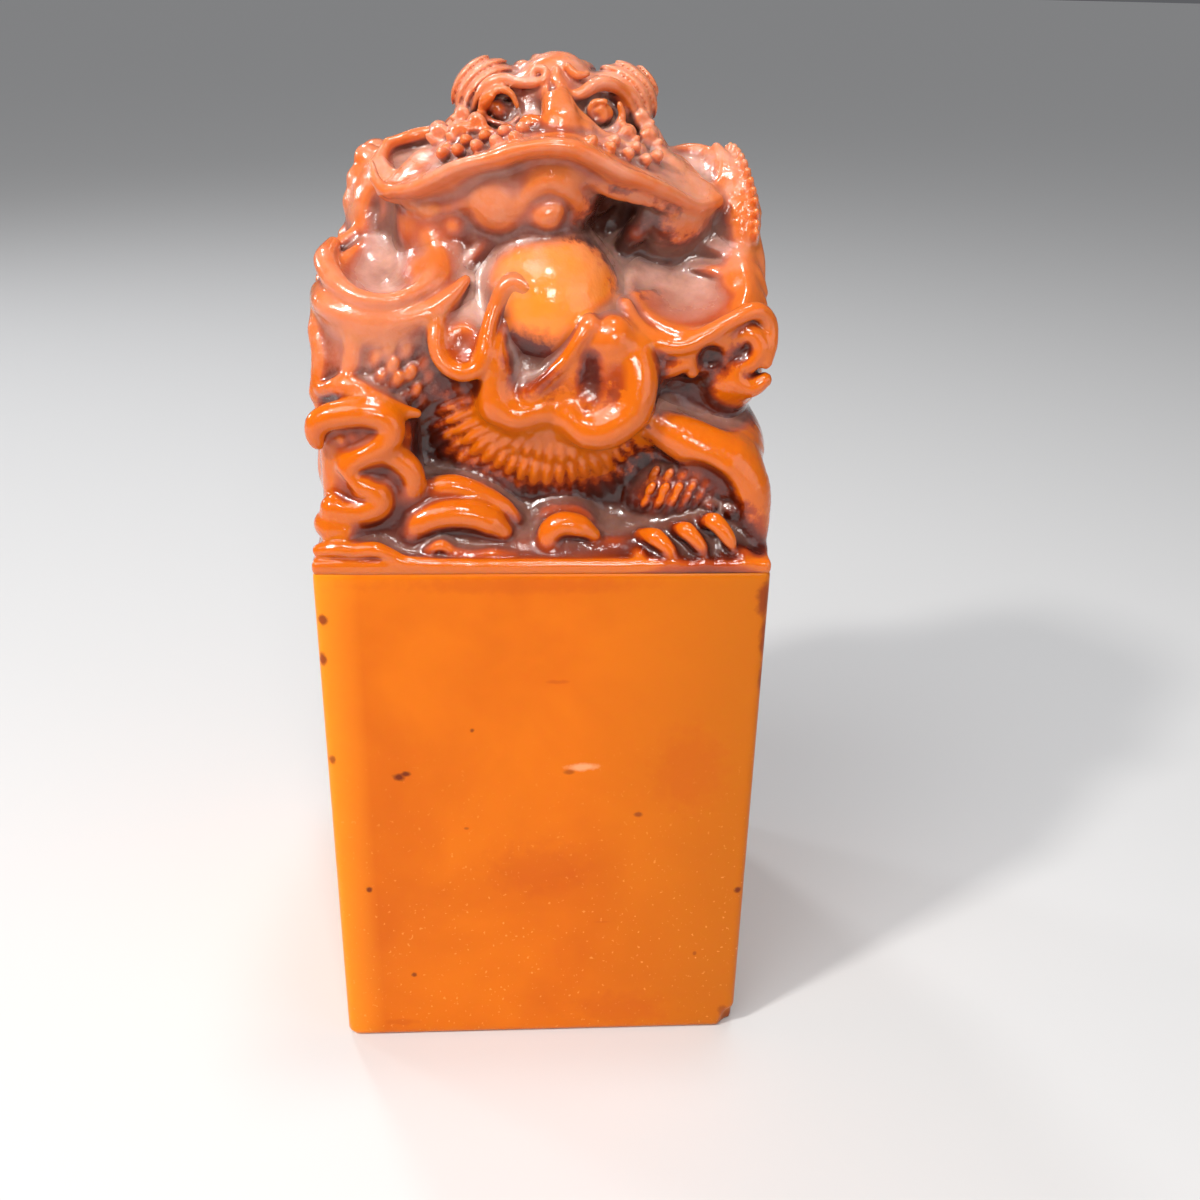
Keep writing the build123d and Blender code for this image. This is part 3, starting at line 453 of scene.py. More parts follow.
@region("scale_collar", (-13.5, -17.6, 1), (13.4, -6, 20), "chest_collar")
def carve_collar(clay):
    clay.put(ball((0.4, -5.4, 12.4), (13.4, 9.3, 11.4)), 0)
    hub = np.array((0.9, 16))
    # Rows of scales round a hub: reach, half width, half height and how far they stand out
    rows = ((6.2, 0.42, 1, 0.5), (7.6, 0.42, 1.25, 0.6), (9.2, 0.45, 1.4, 0.68), (10.9, 0.48, 1.45, 0.6))
    for row, (reach, wide, tall, proud) in enumerate(rows):
        pitch = wide * 2.15 / reach
        start, stop = math.radians(-178) + (row % 2) * pitch / 2, math.radians(8)
        for angle in np.arange(start, stop, pitch):
            across, up = math.cos(angle), math.sin(angle)
            wander = 0.22 * math.sin(5.3 * angle + 2.1 * row)
            x, h = hub[0] + (reach + wander) * across * 0.98, hub[1] + (reach + wander) * up
            if not (-12.6 < x < 10.2 and h > 3):
                continue
            y = chest_depth(x, h)
            lean = math.degrees(math.atan2(up, across)) + 90
            size = 1 + 0.16 * math.sin(11.7 * angle + 1.3 * row)
            clay.put(ball((x, y - 0.05, h), (wide * size, proud, tall * size), (22, -lean, 0)), 0.14)


@region("left_flank_scales", (-18.4, -17.6, 9), (-5, 4, 21), "left_flank")
def carve_left_flank(clay):
    clay.put(ball((-11.6, -7, 14.6), (5.8, 7.4, 5.6)), 0)
    clay.put(ball((-14.4, -7.6, 14.8), (3.2, 6.6, 4.4)), 1)
    for k in range(6):
        for j in range(5):
            x = -13.2 + 1.25 * j + 0.3 * k
            h = 18.2 - 0.5 * j - 1.2 * k + 0.25 * math.sin(3.1 * j + 1.7 * k)
            inside = bulge(x, h, (-11.6, 14.6), (5.8, 5.6))
            if inside > 0.05:
                clay.put(
                    ball((x, -7.0 - 7.4 * math.sqrt(inside) - 0.1, h), (0.5, 0.5, 0.85), (14, 30, 0)), 0.18)
    clay.put(cord([
        (-13.8, -13, 18.4), (-14.1, -13.8, 17.2), (-14.3, -14.2, 15.6), (-14.8, -14.4, 14.2)],
        (0.5, 0.7, 0.7, 0.6)), 0.6)
    clay.put(cord([
        (-16.8, -13.6, 13.2), (-15.4, -14.6, 13.8), (-14.2, -15, 13.8), (-12.6, -15.2, 13),
        (-11, -15.2, 12.2), (-9.6, -14.9, 11.8)], (0.5, 0.75, 0.8, 0.75, 0.6, 0.35)), 0.5)
    clay.put(cord([
        (-16.9, -9.5, 18.8), (-17, -11, 17.2), (-16.8, -12, 15.8), (-16.8, -12.4, 14.2),
        (-17.2, -12.6, 12.8)], (0.8, 1, 0.9, 1, 0.8)), 0.6)
    clay.put(cord([
        (-17, -2, 18), (-17.1, -3.4, 16), (-16.8, -5.4, 14.2), (-17, -7.6, 13.2)],
        (0.7, 1.1, 1.1, 0.8)), 0.7)
    for k in range(5):
        clay.put(
            ball((-16.6, -8.8 + 1.9 * k, 15.4 + 0.7 * math.sin(1.9 * k)), (0.8, 0.9, 1.1), (25, 0, 0)), 0.4)


@region("left_scroll", (-18.6, -17.9, -0.4), (-8, 0, 14.2), "left_cloud_scroll")
def carve_left_scroll(clay):
    clay.put(crate((-17.2, -15.9, 0), (-10.2, -2, 12.2), 1.8), 0)
    main = [
        (-17.1, 9.7), (-17.2, 10.6), (-16.8, 11.5), (-15.6, 12), (-13.6, 12.2), (-12, 11.8),
        (-11.5, 10.8), (-12.2, 9.7), (-13.8, 8.9), (-14.8, 7.9), (-14.4, 6.8), (-13, 6), (-12.8, 5),
        (-14.2, 4.4), (-16.2, 4.6)]
    clay.put(cord(front(main, -16.1), (0.5, 0.95, 1.1, 1.1, 1.05, 1, 1.1, 1.2, 1.05)), 0.6)
    inner = [(-13.6, 8.7), (-12, 8.8), (-10.8, 8.2), (-10.1, 7.1), (-10.2, 5.9), (-11, 5.2)]
    clay.put(cord(front(inner, np.linspace(-15.9, -15.2, 6)), (0.7, 0.95, 1, 0.9, 0.6)), 0.6)
    clay.cut(ball((-14.6, -17.1, 10.2), (1.9, 1.4, 0.8), (0, -20, 0)), 0.4)
    clay.cut(cord([(-18.2, -16.6, 8.4), (-16.6, -17, 8.9), (-15, -17.1, 9.7)], (1, 0.8, 0.6)), 0.4)
    for k in range(3):
        clay.put(ball((-15.3 + 0.9 * k, -15.7, 10.1 + 0.3 * k), (0.4, 0.5, 0.5), (0, -30, 0)), 0.2)
    clay.cut(ball((-12.3, -17, 7.5), (0.7, 1.2, 0.6), (0, -30, 0)), 0.5)
    clay.cut(cord([(-17.6, -16.6, 7.6), (-16.2, -16.9, 6.9), (-15.2, -16.9, 6)], (1.1, 1, 0.7)), 0.4)
    clay.put(ball((-15.9, -15.6, 3.1), (2, 1.7, 1.5)), 0.6)
    clay.put(ball((-16.6, -16.6, 3), (0.55, 0.6, 0.6)), 0.4)
    clay.put(ball((-15.3, -16.7, 2.9), (0.5, 0.6, 0.6)), 0.4)
    for k, y in enumerate((-11.6, -7.2, -3.6)):
        lift = 0.5 * math.sin(2.2 * k)
        clay.put(cord(side([
            (y - 1.5, 11.0 + lift), (y - 0.2, 12.0 + lift), (y + 1.2, 11.2), (y + 0.9, 9.6), (y - 0.7, 8.4),
            (y - 1.3, 6.6), (y - 0.2, 5.2), (y + 1.2, 5.4)], -16.7),
            (0.8, 1.1, 1.1, 1, 0.9, 1, 0.9, 0.6)), 0.7)
        clay.put(ball((-16.8, y + 1.2, 7.4 + lift), (0.7, 0.9, 0.8)), 0.5)


@region(
    "left_clouds", (-17.8, -16.2, 16), (-5.2, 6.2, 31.8), "left_cloud_cup", "left_cloud_lumps",
    "left_upper_cup")
def carve_left_clouds(clay):
    clay.put(ball((-11.8, -5.4, 18.8), (5.8, 8.4, 3.6)), 0)
    clay.put(ball((-11.6, -1, 24), (4.2, 6, 5.4)), 1.4)
    # The wide dusty dish, tipped towards the front, with its outer wall and rolled rim
    clay.put(ball((-12, -9.6, 19.6), (5.4, 5.6, 3.2), (26, -4, 0)), 1)
    clay.cut(ball((-11.9, -10.2, 24.3), (4.3, 5.4, 3.6), (30, -6, 0)), 0.5)
    clay.put(cord([
        (-8.3, -8.2, 24.8), (-7.8, -10, 23.6), (-8.1, -12, 21.8), (-9.6, -13.6, 20.6),
        (-11.8, -14.2, 20.1), (-14, -13.6, 20.4), (-15.6, -12, 21.2), (-16.5, -9.6, 22.2),
        (-16.2, -7, 22.9)], (0.4, 0.55, 0.6, 0.6, 0.6, 0.65, 0.85, 0.9, 0.6)), 0.5)
    clay.put(cord([
        (-15.9, -5.6, 22.6), (-13.4, -4.8, 23.8), (-11, -5.2, 24.2), (-9, -6.6, 23.6)],
        (0.6, 0.8, 0.8, 0.5)), 0.6)
    clay.put(ball((-7.6, -8.6, 20.6), (3.4, 4.6, 3.2), (20, 20, 0)), 1.2)
    # Rolls under the rim
    clay.put(cord([
        (-17, -9, 19.6), (-16.3, -12, 19.4), (-14.6, -13.4, 18.9), (-11.6, -14, 18.6),
        (-9, -13.9, 19.1), (-7, -13.2, 20.2), (-5.8, -12.6, 21.4)],
        (0.9, 1, 0.95, 0.9, 0.85, 0.7, 0.4)), 0.5)
    clay.put(cord([(-17.1, -6, 19.8), (-17, -2.4, 20.4), (-16, 0.8, 21.4)], (0.9, 1.1, 0.9)), 0.7)
    # The upper dish behind the corner of the lip
    clay.put(ball((-10.2, -2.8, 27.6), (3.4, 3.8, 2.6), (22, -8, 0)), 0.8)
    clay.cut(ball((-10, -4, 30.6), (2.6, 3.2, 2.8), (34, -8, 0)), 0.4)
    clay.put(cord([
        (-12.1, -2.2, 29.8), (-12.8, -3.8, 28.6), (-12.7, -4.6, 27.4), (-12.1, -5.2, 26.4),
        (-12, -5.6, 25.3), (-12.4, -5.4, 24.2), (-13.2, -5, 23.2)],
        (0.4, 0.5, 0.5, 0.45, 0.45, 0.45, 0.4)), 0.35)
    clay.put(cord([(-12, -2.2, 29.9), (-10, -1.2, 30.4), (-8, -1.4, 30.8)], (0.4, 0.55, 0.5)), 0.4)
    # Lumps in a column at the side
    for x, y, h, r in (
            (-13.8, -1, 28.6, 1.15), (-14.4, -1.4, 27, 1.2), (-14.7, -1.8, 25.3, 1.25),
            (-14.2, -2.2, 23.8, 1), (-15.4, -2, 22.6, 1.1), (-13.4, 2, 28.2, 1.6),
            (-14.2, 2.2, 25.6, 1.6), (-14.6, 2, 22.8, 1.6), (-12.6, 4.2, 26.6, 1.6)):
        clay.put(ball((x, y, h), (r, r * 1.2, r)), 0.5)


@region(
    "right_clouds", (5.2, -16.8, 10.6), (18.3, 7, 31.8), "right_cloud_cup", "right_curl_cloud",
    "right_upper_cup")
def carve_right_clouds(clay):
    clay.put(ball((12, -4.4, 17.6), (5.8, 8.6, 5)), 0)
    clay.put(ball((12, -0.4, 24), (4.6, 6.2, 5.6)), 1.2)
    # The wide dusty slope down to a waving front rim
    clay.put(ball((11.4, -8.8, 18.6), (6.2, 6, 4), (34, -8, 0)), 1.2)
    clay.cut(ball((10.9, -11.6, 24.8), (6.2, 8.6, 5.6), (36, -10, 0)), 0.5)
    clay.put(cord([
        (6.3, -12.2, 19.6), (6.9, -13, 18.2), (8.4, -13.8, 17.2), (10.4, -14.1, 16.9), (12.2, -14, 17.7),
        (14.2, -13.6, 18.8), (16.1, -13, 19.4), (17.2, -12.4, 18.4), (17.4, -12.6, 16.8),
        (17.2, -13, 15.4)], (0.5, 0.75, 0.8, 0.75, 0.65, 0.6, 0.7, 0.75, 0.7, 0.5)), 0.5)
    clay.put(cord(front([
        (7.8, 15.6), (9.4, 15.2), (10.9, 15.6), (11.4, 14.8)], -13.6), (0.7, 0.9, 0.8, 0.5)), 0.5)
    clay.cut(ball((12.9, -15, 15.8), (1.3, 2.6, 1.2), (0, 30, 0)), 0.5)
    clay.put(cord(front([
        (14.4, 17.2), (15.8, 17.6), (16.6, 16.6), (16, 15.4), (15, 15), (15, 13.9), (16.2, 13.4),
        (17.2, 14)], -12.9), (0.5, 0.75, 0.8, 0.8, 0.7, 0.8, 0.8, 0.6)), 0.4)
    clay.put(ball((14.6, -9.2, 13.8), (3, 4.4, 3.2)), 0.6)
    # Two folded flaps at the right
    clay.put(ball((15.4, -5.6, 20.8), (2.2, 5.2, 2.6), (10, 14, 0)), 0.6)
    for lift, back in ((-0.2, 0.4), (1.3, 1.7)):
        clay.put(cord([
            (12, -7.8 + back, 21.6 + lift), (13.6, -8.6 + back, 21.5 + lift),
            (15.2, -9.4 + back, 20.7 + lift), (16.6, -10.2 + back, 19.8 + lift),
            (17.3, -10.6 + back, 18.6 + lift)], (0.3, 0.62, 0.75, 0.7, 0.45)), 0.3)
    clay.put(cord([
        (12, -4.4, 23.2), (14.2, -4.6, 24), (16.3, -5.2, 23.6), (17, -6.6, 22.2), (17.2, -7.6, 20.4)],
        (0.4, 0.7, 0.8, 0.7, 0.5)), 0.4)
    # The upper dish behind the corner of the lip
    clay.put(ball((12.2, -2.6, 27), (3.4, 4.2, 3), (24, 8, 0)), 0.8)
    clay.cut(ball((11.9, -4.4, 30.4), (2.7, 4, 3.2), (36, 8, 0)), 0.4)
    clay.put(cord([
        (9.4, -3, 29.4), (9.8, -4.6, 28), (10.6, -5.8, 26.8), (12, -6.4, 26.1), (13.6, -6, 26.4),
        (14.6, -4.6, 27.6), (14.6, -3, 29), (14, -1.8, 30)],
        (0.35, 0.45, 0.5, 0.5, 0.5, 0.5, 0.5, 0.35)), 0.35)
    for k in range(4):
        clay.put(ball((17, -4.4 + 2.7 * k, 17.4 + 0.9 * math.sin(2.1 * k)), (0.9, 1.5, 1.5)), 0.6)


@region("tail_finned", (10.4, -10.5, 14), (18.4, 12.5, 31.6), "tail_loop")
def carve_tail(clay):
    line = [
        (13.2, 10.4, 15.4), (14.3, 7.2, 20.4), (14.6, 3.2, 25), (14.4, -0.4, 27.6), (15, -3.4, 27.2),
        (15.6, -5.6, 25.2), (15.6, -6.6, 22.6)]
    clay.put(cord(line, (2, 2.1, 2, 1.9, 1.8, 1.7, 1.3)), 0)
    scaled_cord(clay, line, radius=1.95, across=1.1, along=0.95, deep=0.22, start=0.5, stop=0.5)
    track = curve(line, steps=9)
    for k in range(3, len(track) - 3, 2):
        run = unit(track[k + 1] - track[k - 1])
        out = unit(np.cross(run, (-1, 0, 0)))
        out = out * (1 if out @ np.array((0, -0.5, 1)) > 0 else -1)
        place = track[k] + out * 1.5 + np.array((0.9, 0, 0))
        clay.put(cord([place - out * 0.6, place + out * 0.75 - run * 0.3], (0.46, 0.3)), 0.2)


@region("right_leg", (5, -17.9, -0.4), (18.4, 2, 14.2), "right_foreleg", "right_paw")
def carve_leg(clay):
    clay.put(ball((13, -7, 6), (5.2, 6.6, 6.6)), 0)
    # The smooth limb from the chest to the right edge, with a shiny ledge behind its top
    clay.put(cord([
        (7.8, -13, 11.6), (9.4, -13.8, 10.4), (11.8, -14.2, 9.2), (14.2, -14.1, 7.8), (16, -14.2, 5.8),
        (16.6, -14.4, 3.4), (16.6, -14.6, 0.8)], (1, 1.5, 1.9, 2.3, 2, 1.6, 1.4)), 0.9)
    clay.put(ball((15, -9.4, 7.6), (3.1, 5.6, 3)), 1.2)
    clay.cut(ball((14.6, -11.6, 12.6), (2.6, 3.4, 2.6), (20, 20, 0)), 0.6)
    clay.put(cord([
        (12.6, -12.6, 9.9), (14.4, -12.9, 9.6), (16.2, -12.6, 8.9), (17.4, -11.6, 7.9)],
        (0.35, 0.6, 0.65, 0.4)), 0.35)
    for k in range(3):
        clay.put(cord([
            (13.2 + 0.7 * k, -9.4 + 0.9 * k, 10.4), (14.8 + 0.5 * k, -10.0 + 1.0 * k, 10.2 - 0.1 * k),
            (16.6, -10.6 + 1.1 * k, 9.3 - 0.1 * k), (17.4, -10.8 + 1.2 * k, 8)], (0.35, 0.6, 0.65, 0.4)),
            0.3)
    for k in range(6):
        for j in range(5):
            y, h = -12.4 + 1.7 * k + 0.8 * (j % 2), 2.4 + 1.35 * j
            inside = bulge(y, h, (-7, 6), (6.6, 6.6))
            if inside > 0.1:
                clay.put(ball((13.0 + 5.2 * math.sqrt(inside) - 0.15, y, h), (0.35, 0.75, 0.8)), 0.25)
    clay.cut(cord([
        (9.4, -16.2, 6.4), (11.6, -16.4, 7.3), (13.6, -16.4, 6.4), (14.6, -16.4, 4.6)], (0.9, 1.1, 1, 0.8),
        (1, 0.6, 1)), 0.6)
    # The scaled paw turned in below it
    clay.put(ball((11.2, -12, 4.8), (4.6, 3, 2.9), (0, -18, 0)), 0.5)
    for k in range(7):
        for j in range(4):
            x, h = 7.8 + 1.05 * k + 0.35 * j, 3.2 + 0.32 * k + 1.15 * j - 0.12 * k * j
            inside = bulge(x, h, (11.2, 4.8), (4.6, 2.9))
            if inside > 0.08:
                clay.put(ball((x, -12.0 - 3.0 * math.sqrt(inside), h), (0.36, 0.4, 0.7), (16, 24, 0)), 0.2)
    clay.put(slab([
        (5.6, 0.2), (6, 1.6), (8, 2.6), (10.4, 3.2), (12.8, 3.4), (15, 3.6), (16.2, 2.2), (16.2, 0.2)],
        -15.6, -9, 1.2), 0.6)
    for x, h in ((8.4, 1.9), (9.5, 2.2), (10.6, 2.7), (11.6, 3.1), (12.6, 3.4)):
        clay.put(ball((x, -15.5, h), (0.62, 0.6, 0.5), (0, 25, 0)), 0.3)
    clay.put(cord(front([(9.6, 1.5), (11.4, 1.9), (13.2, 2.6)], -15.8), (0.5, 0.7, 0.5)), 0.4)
    for x, h in ((13.7, 3.4), (14.8, 4), (13.2, 4.4)):
        clay.put(ball((x, -15.2, h), (0.55, 0.6, 0.45), (0, 25, 0)), 0.25)
    for x, h, r in ((7.6, 0.9, 0.55), (8.8, 0.5, 0.6), (10.8, 0.5, 0.6), (12.4, 0.7, 0.6), (14, 0.9, 0.5)):
        clay.put(ball((x, -16.7, h), (r, 0.7, r * 0.85)), 0.3)
    for x, h, turn in ((9, 1.2, 0.2), (11.4, 1.6, 0.35), (13.6, 2.2, 0.5)):
        clay.put(cord([
            (x - 1.2, -15.6, h + 0.9), (x - 0.2, -16.7, h + 0.9 + turn), (x + 0.9, -17.2, h + 0.2),
            (x + 1.3, -17.3, h - 0.7)], (0.55, 0.75, 0.6, 0.25)), 0.35)
    clay.put(cord([(14.6, -16.6, 1.6), (15.8, -17, 0.9), (16.8, -16.9, 0.3)], (0.5, 0.6, 0.35)), 0.3)


@region(
    "foot_clouds", (-18.6, -18.4, -0.7), (18.6, 18.4, 8), "cloud_plinth", "front_arch_cloud",
    "front_curl_cloud")
def carve_foot_clouds(clay):
    clay.put(crate((-half_width, -half_width, -0.4), (half_width, half_width, 0.8), 0.4), 0)
    ledge = [
        (-17.4, -17.2, 1.5), (-16, -17.4, 1.7), (-14.6, -17.4, 1.6), (-13, -17.5, 1.7),
        (-11.8, -17.5, 1.2), (-10.8, -17.5, 0.7), (-8.8, -17.5, 0.45), (-6, -17.5, 0.35)]
    clay.put(cord(ledge, (0.5, 0.6, 0.6, 0.6, 0.5, 0.45, 0.4, 0.3)), 0.5)
    clay.put(crate((-17.5, -17.1, -0.2), (-12.2, -8, 1.6), 0.8), 0.8)
    clay.put(crate((-16.8, -16.4, -0.6), (16.8, 16.8, 1.9), 1.1), 0.8)
    # The double arch: a dusty crest behind a thick bright band
    outer = [
        (-13, 2.6), (-11.6, 4), (-9.8, 5), (-8.6, 6), (-6.8, 6.2), (-4.8, 5.4), (-3, 4.2),
        (-1.8, 3), (-1.6, 1.2), (-4, 0.2), (-8, 0), (-12.6, 0.4)]
    clay.put(slab(outer, -15.2, -9, 1.1), 0.5)
    clay.put(cord(front([
        (-12.4, 3.2), (-10.4, 4.3), (-8.8, 5.5), (-7, 5.8), (-5, 5.1), (-3.2, 4.1), (-2.2, 3.1)], -14.6),
        (0.7, 0.8, 0.9, 0.95, 0.9, 0.75, 0.5)), 0.6)
    clay.put(cord(front([
        (-10.3, 2.4), (-9.5, 3.3), (-7.8, 3.9), (-5.8, 3.9), (-4.2, 3.3), (-3.2, 2.5)], -15.7),
        (0.9, 1.15, 1.15, 1.15, 1.1, 0.75)), 0.5)
    clay.cut(cord(front([(-7.6, 1.6), (-6.2, 1.9), (-4.8, 1.3)], -16.4), (0.7, 0.75, 0.6)), 0.4)
    clay.put(cord(front([
        (-9, 1.2), (-8, 1.7), (-7, 1.1), (-5.6, 0.8), (-4, 0.9), (-2.4, 0.7)], -16.7),
        (0.4, 0.5, 0.45, 0.5, 0.5, 0.35)), 0.3)
    # The small hooked cloud
    clay.put(slab([
        (-1, 0.2), (-0.9, 2.6), (0.2, 3.9), (2.6, 4), (4.2, 2.8), (4.8, 0.6)], -15, -9.6, 1), 0.5)
    clay.put(cord(front([
        (3.9, 2.2), (2.8, 2.9), (1.5, 3.1), (0.6, 2.5), (0.4, 1.5), (1, 0.8), (2.2, 0.6)], -15.8),
        (0.6, 0.95, 1, 1, 0.95, 0.8, 0.5)), 0.5)
    clay.cut(ball((2.7, -16.8, 1.7), (1.1, 1, 0.55), (0, 8, 0)), 0.3)
    # Waves round the sides and the back, no two alike
    for k in range(6):
        x, size = -13.6 + 5.5 * k, 1 + 0.25 * math.sin(2.7 * k)
        wave = [
            (x - 2.3 * size, 0.9), (x - 1.3 * size, 1.9 * size), (x, 2.3 * size),
            (x + 1.0 * size, 1.7 * size), (x + 0.5, 1)]
        clay.put(cord([(u, 17, h) for u, h in wave], (0.7, 0.85, 0.9, 0.8, 0.5)), 0.5)
        if k < 5:
            for flip in (-1, 1):
                clay.put(cord(
                    [(flip * 17, u + 2.6 + flip * 0.9, h) for u, h in wave], (0.7, 0.85, 0.9, 0.8, 0.5)),
                    0.5)


lip_crest = [
    (-12, -9, 27.3), (-9.7, -10.9, 27.7), (-7.8, -12, 28.7), (-6, -12.8, 29.6), (-3.6, -13.6, 30.3),
    (-2.2, -13.8, 30.8), (0.2, -14, 31.2), (2.1, -13.9, 31.1), (3.7, -13.5, 30.4), (5.7, -12.9, 29.3),
    (7.8, -11.9, 28.5), (9.7, -10.8, 27.6), (11.7, -9.4, 26.6), (13.5, -7.8, 26.8)]
lip_edge = [
    (-11.6, -9, 26.8), (-9.6, -10, 26.5), (-7.1, -11, 26.3), (-5, -11.6, 26.9), (-3.9, -12, 28.2),
    (-2.9, -12.3, 29.2), (-1.5, -12.6, 29.8), (0.6, -12.8, 30), (2.3, -12.6, 29.7), (4, -12.1, 28.4),
    (5, -11.8, 27.6), (6.4, -11.5, 27.2), (8.4, -10.7, 26.7), (11.1, -9.2, 25.8), (12.8, -8, 26.1)]


def hair(clay, middle, spacing, deep, low, high, phase=0.0):
    """Combed grooves: rings round a point of the front view, pressed into what lies in the box."""
    fade, trough = 0.8, 0.6

    def amount(x, y, z):
        reach = np.sqrt((x - middle[0]) ** 2 + (z - middle[1]) ** 2 + 0.15 * (y + 4) ** 2)
        edge = 1.0
        for v, a, b in ((x, low[0], high[0]), (y, low[1], high[1]), (z, low[2], high[2])):
            edge = edge * np.clip((v - a) / fade, 0, 1) * np.clip((b - v) / fade, 0, 1)
        wave = np.abs(np.sin(math.pi * reach / spacing + phase)) - trough
        return deep * wave * edge
    clay.press(low, high, amount)


@region(
    "dragon_face", (-14.6, -15.6, 22.8), (15.6, 7.4, 37.6), "dragon_head", "snout", "left_brow", "right_brow",
    "left_eye", "right_eye", "crown_boss", "left_mane_tuft", "right_mane_tuft", "upper_lip")
def carve_head(clay):
    clay.put(ball((0.9, -0.6, 30.6), (6.6, 6, 4.6)), 0)
    clay.put(ball((1, -2, 34), (4, 3.4, 1.8)), 1.5)
    clay.put(ball((1.2, -2.4, 35.6), (2, 1.9, 1.2)), 1.2)
    clay.put(ball((0.9, -7.2, 29.6), (6.4, 5.4, 2.3)), 1.2)
    # The flared lip: a sheet from the cheeks out to its crest, hollow below
    edge_line = curve(lip_edge, steps=10)
    for k, top in enumerate(curve(lip_crest, steps=3)):
        share = k / (3 * (len(lip_crest) - 1))
        low = edge_line[min(int(share * (len(edge_line) - 1)), len(edge_line) - 1)]
        cheek = np.array(
            (0.9 + (top[0] - 0.9) * 0.78, top[1] * 0.62 + 0.6, 28.6 + 0.55 * (top[2] - 28.6) + 0.5))
        middle = (top + low) / 2 + np.array((0, 0.75, 0))
        clay.put(cord([
            cheek, (cheek + top) / 2 + np.array((0, 0, -0.1)), top + np.array((0, 0.5, -0.2))],
            (1.2, 0.8, 0.42), steps=2), 0.7)
        clay.put(cord([
            top + np.array((0, 0.3, -0.1)), middle + np.array((0, 0.5, 0)), low + np.array((0, 0.6, 0))],
            (0.32, 0.55, 0.4), steps=2), 0.6)
    clay.put(cord(lip_crest, (0.22, 0.3, 0.34, 0.36, 0.34, 0.3, 0.22)), 0.35)
    clay.put(cord([(-11.6, -9.4, 27.2), (-12.5, -8.4, 27.9), (-12.9, -7.2, 29)], (0.4, 0.42, 0.25)), 0.3)
    for slope in ([
            (-9.6, -8.6, 29.2), (-7, -9.8, 30.3), (-4.8, -10.9, 31.5), (-2.6, -11.6, 32.6)],
            [(4.4, -11.4, 32.2), (6.4, -10.4, 31), (8.6, -9.2, 30), (11, -7.6, 28.7)]):
        clay.cut(cord(slope, (0.7, 1.05, 1, 0.6)), 0.7)
    clay.cut(ball((0.8, -11.4, 24.6), (8.8, 4.4, 2.6)), 0.8)
    clay.cut(cord([
        (0.4, -14.6, 25), (0.4, -14.2, 27), (0.45, -13.6, 28)], (2.2, 2.2, 1.6), (1, 0.6, 1)), 0.7)
    # The nose: a broad flat bridge that widens down to its tip, with curled wings
    clay.put(cord([(0.9, -4.4, 34.2), (1.1, -6.6, 33.4), (1.3, -8.6, 32.2)], (0.9, 1.2, 1.5)), 0.8)
    clay.put(ball((1.3, -9, 31.7), (1.7, 1.2, 1.1), (-28, 0, 0)), 0.5)
    clay.cut(ball((1.2, -9.4, 35), (1.9, 2.6, 1.4), (38, 0, 0)), 0.5)
    clay.put(ball((-0.9, -8.6, 32), (0.95, 1, 0.8)), 0.4)
    clay.put(ball((3.1, -8.6, 31.7), (0.8, 0.9, 0.7)), 0.4)
    for x, y, h in (
            (-7.4, -9, 29.9), (-6.2, -10.2, 30.3), (-4.8, -11, 30.7), (-3.4, -11.6, 31.1),
            (-2, -11.9, 31.4), (-5.6, -8.8, 30.8), (-4.2, -9.6, 31.2), (-2.8, -10.2, 31.6),
            (-1.5, -10.6, 31.9), (3.4, -11.5, 31.2), (4.8, -10.8, 30.7), (6.2, -10, 30.2),
            (7.6, -9.2, 29.7), (5.2, -9.2, 31), (6.8, -8.5, 30.5), (8.6, -7.6, 29.8)):
        flip = -1 if x < 0 else 1
        clay.put(ball((x, y, h), (0.5, 0.85, 0.5), (-24, 0, flip * 24)), 0.25)
    clay.put(cord([
        (2, -7.2, 33.3), (2.9, -7.9, 32.5), (4.2, -8.2, 31.4), (5.8, -8.2, 30.6), (7.8, -8, 29.6)],
        (0.3, 0.42, 0.45, 0.45, 0.3)), 0.4)
    # Left eye: a slanting hollow over a low ball, with a lid round it; right eye: a ball in a deep ring
    clay.cut(ball((-3.1, -6.5, 33), (1.3, 1.4, 0.9), (0, 28, 0)), 0.5)
    clay.put(ball((-3.3, -4.7, 32.6), (1, 0.8, 0.7), (0, 40, 0)), 0.6)
    clay.put(cord([(-4.6, -5, 32.6), (-4.3, -5.5, 33.4), (-3.8, -5.9, 33.8)], (0.3, 0.5, 0.3)), 0.3)
    clay.put(cord([
        (-1.9, -5.9, 33.1), (-2.4, -5.8, 34), (-3.4, -5.6, 34.2), (-4.3, -5.2, 33.4), (-4.5, -5.2, 32.4),
        (-3.7, -5.7, 31.9), (-2.5, -6.3, 31.8), (-1.8, -6.2, 32.3)], (0.2, 0.3, 0.3, 0.28, 0.25, 0.2)), 0.25)
    clay.cut(ball((4.5, -6.2, 32.7), (1.6, 1.6, 1.3)), 0.4)
    clay.put(ball((4.4, -5.2, 32.6), (1.05, 0.85, 0.85)), 0.3)
    ring = spiral((4.3, 32.7), outer=0.95, inner=0.2, start=60, turns=1.2, count=9)
    clay.put(cord(front(ring, -5.9), (0.24, 0.3, 0.26), steps=3), 0.2)
    clay.put(cord([
        (5.9, -5.2, 33.3), (6.1, -5.2, 32.4), (5.4, -5.6, 31.5), (4.3, -6.2, 31.2), (3.3, -6.4, 31.6)],
        (0.25, 0.34, 0.34, 0.3, 0.2)), 0.3)
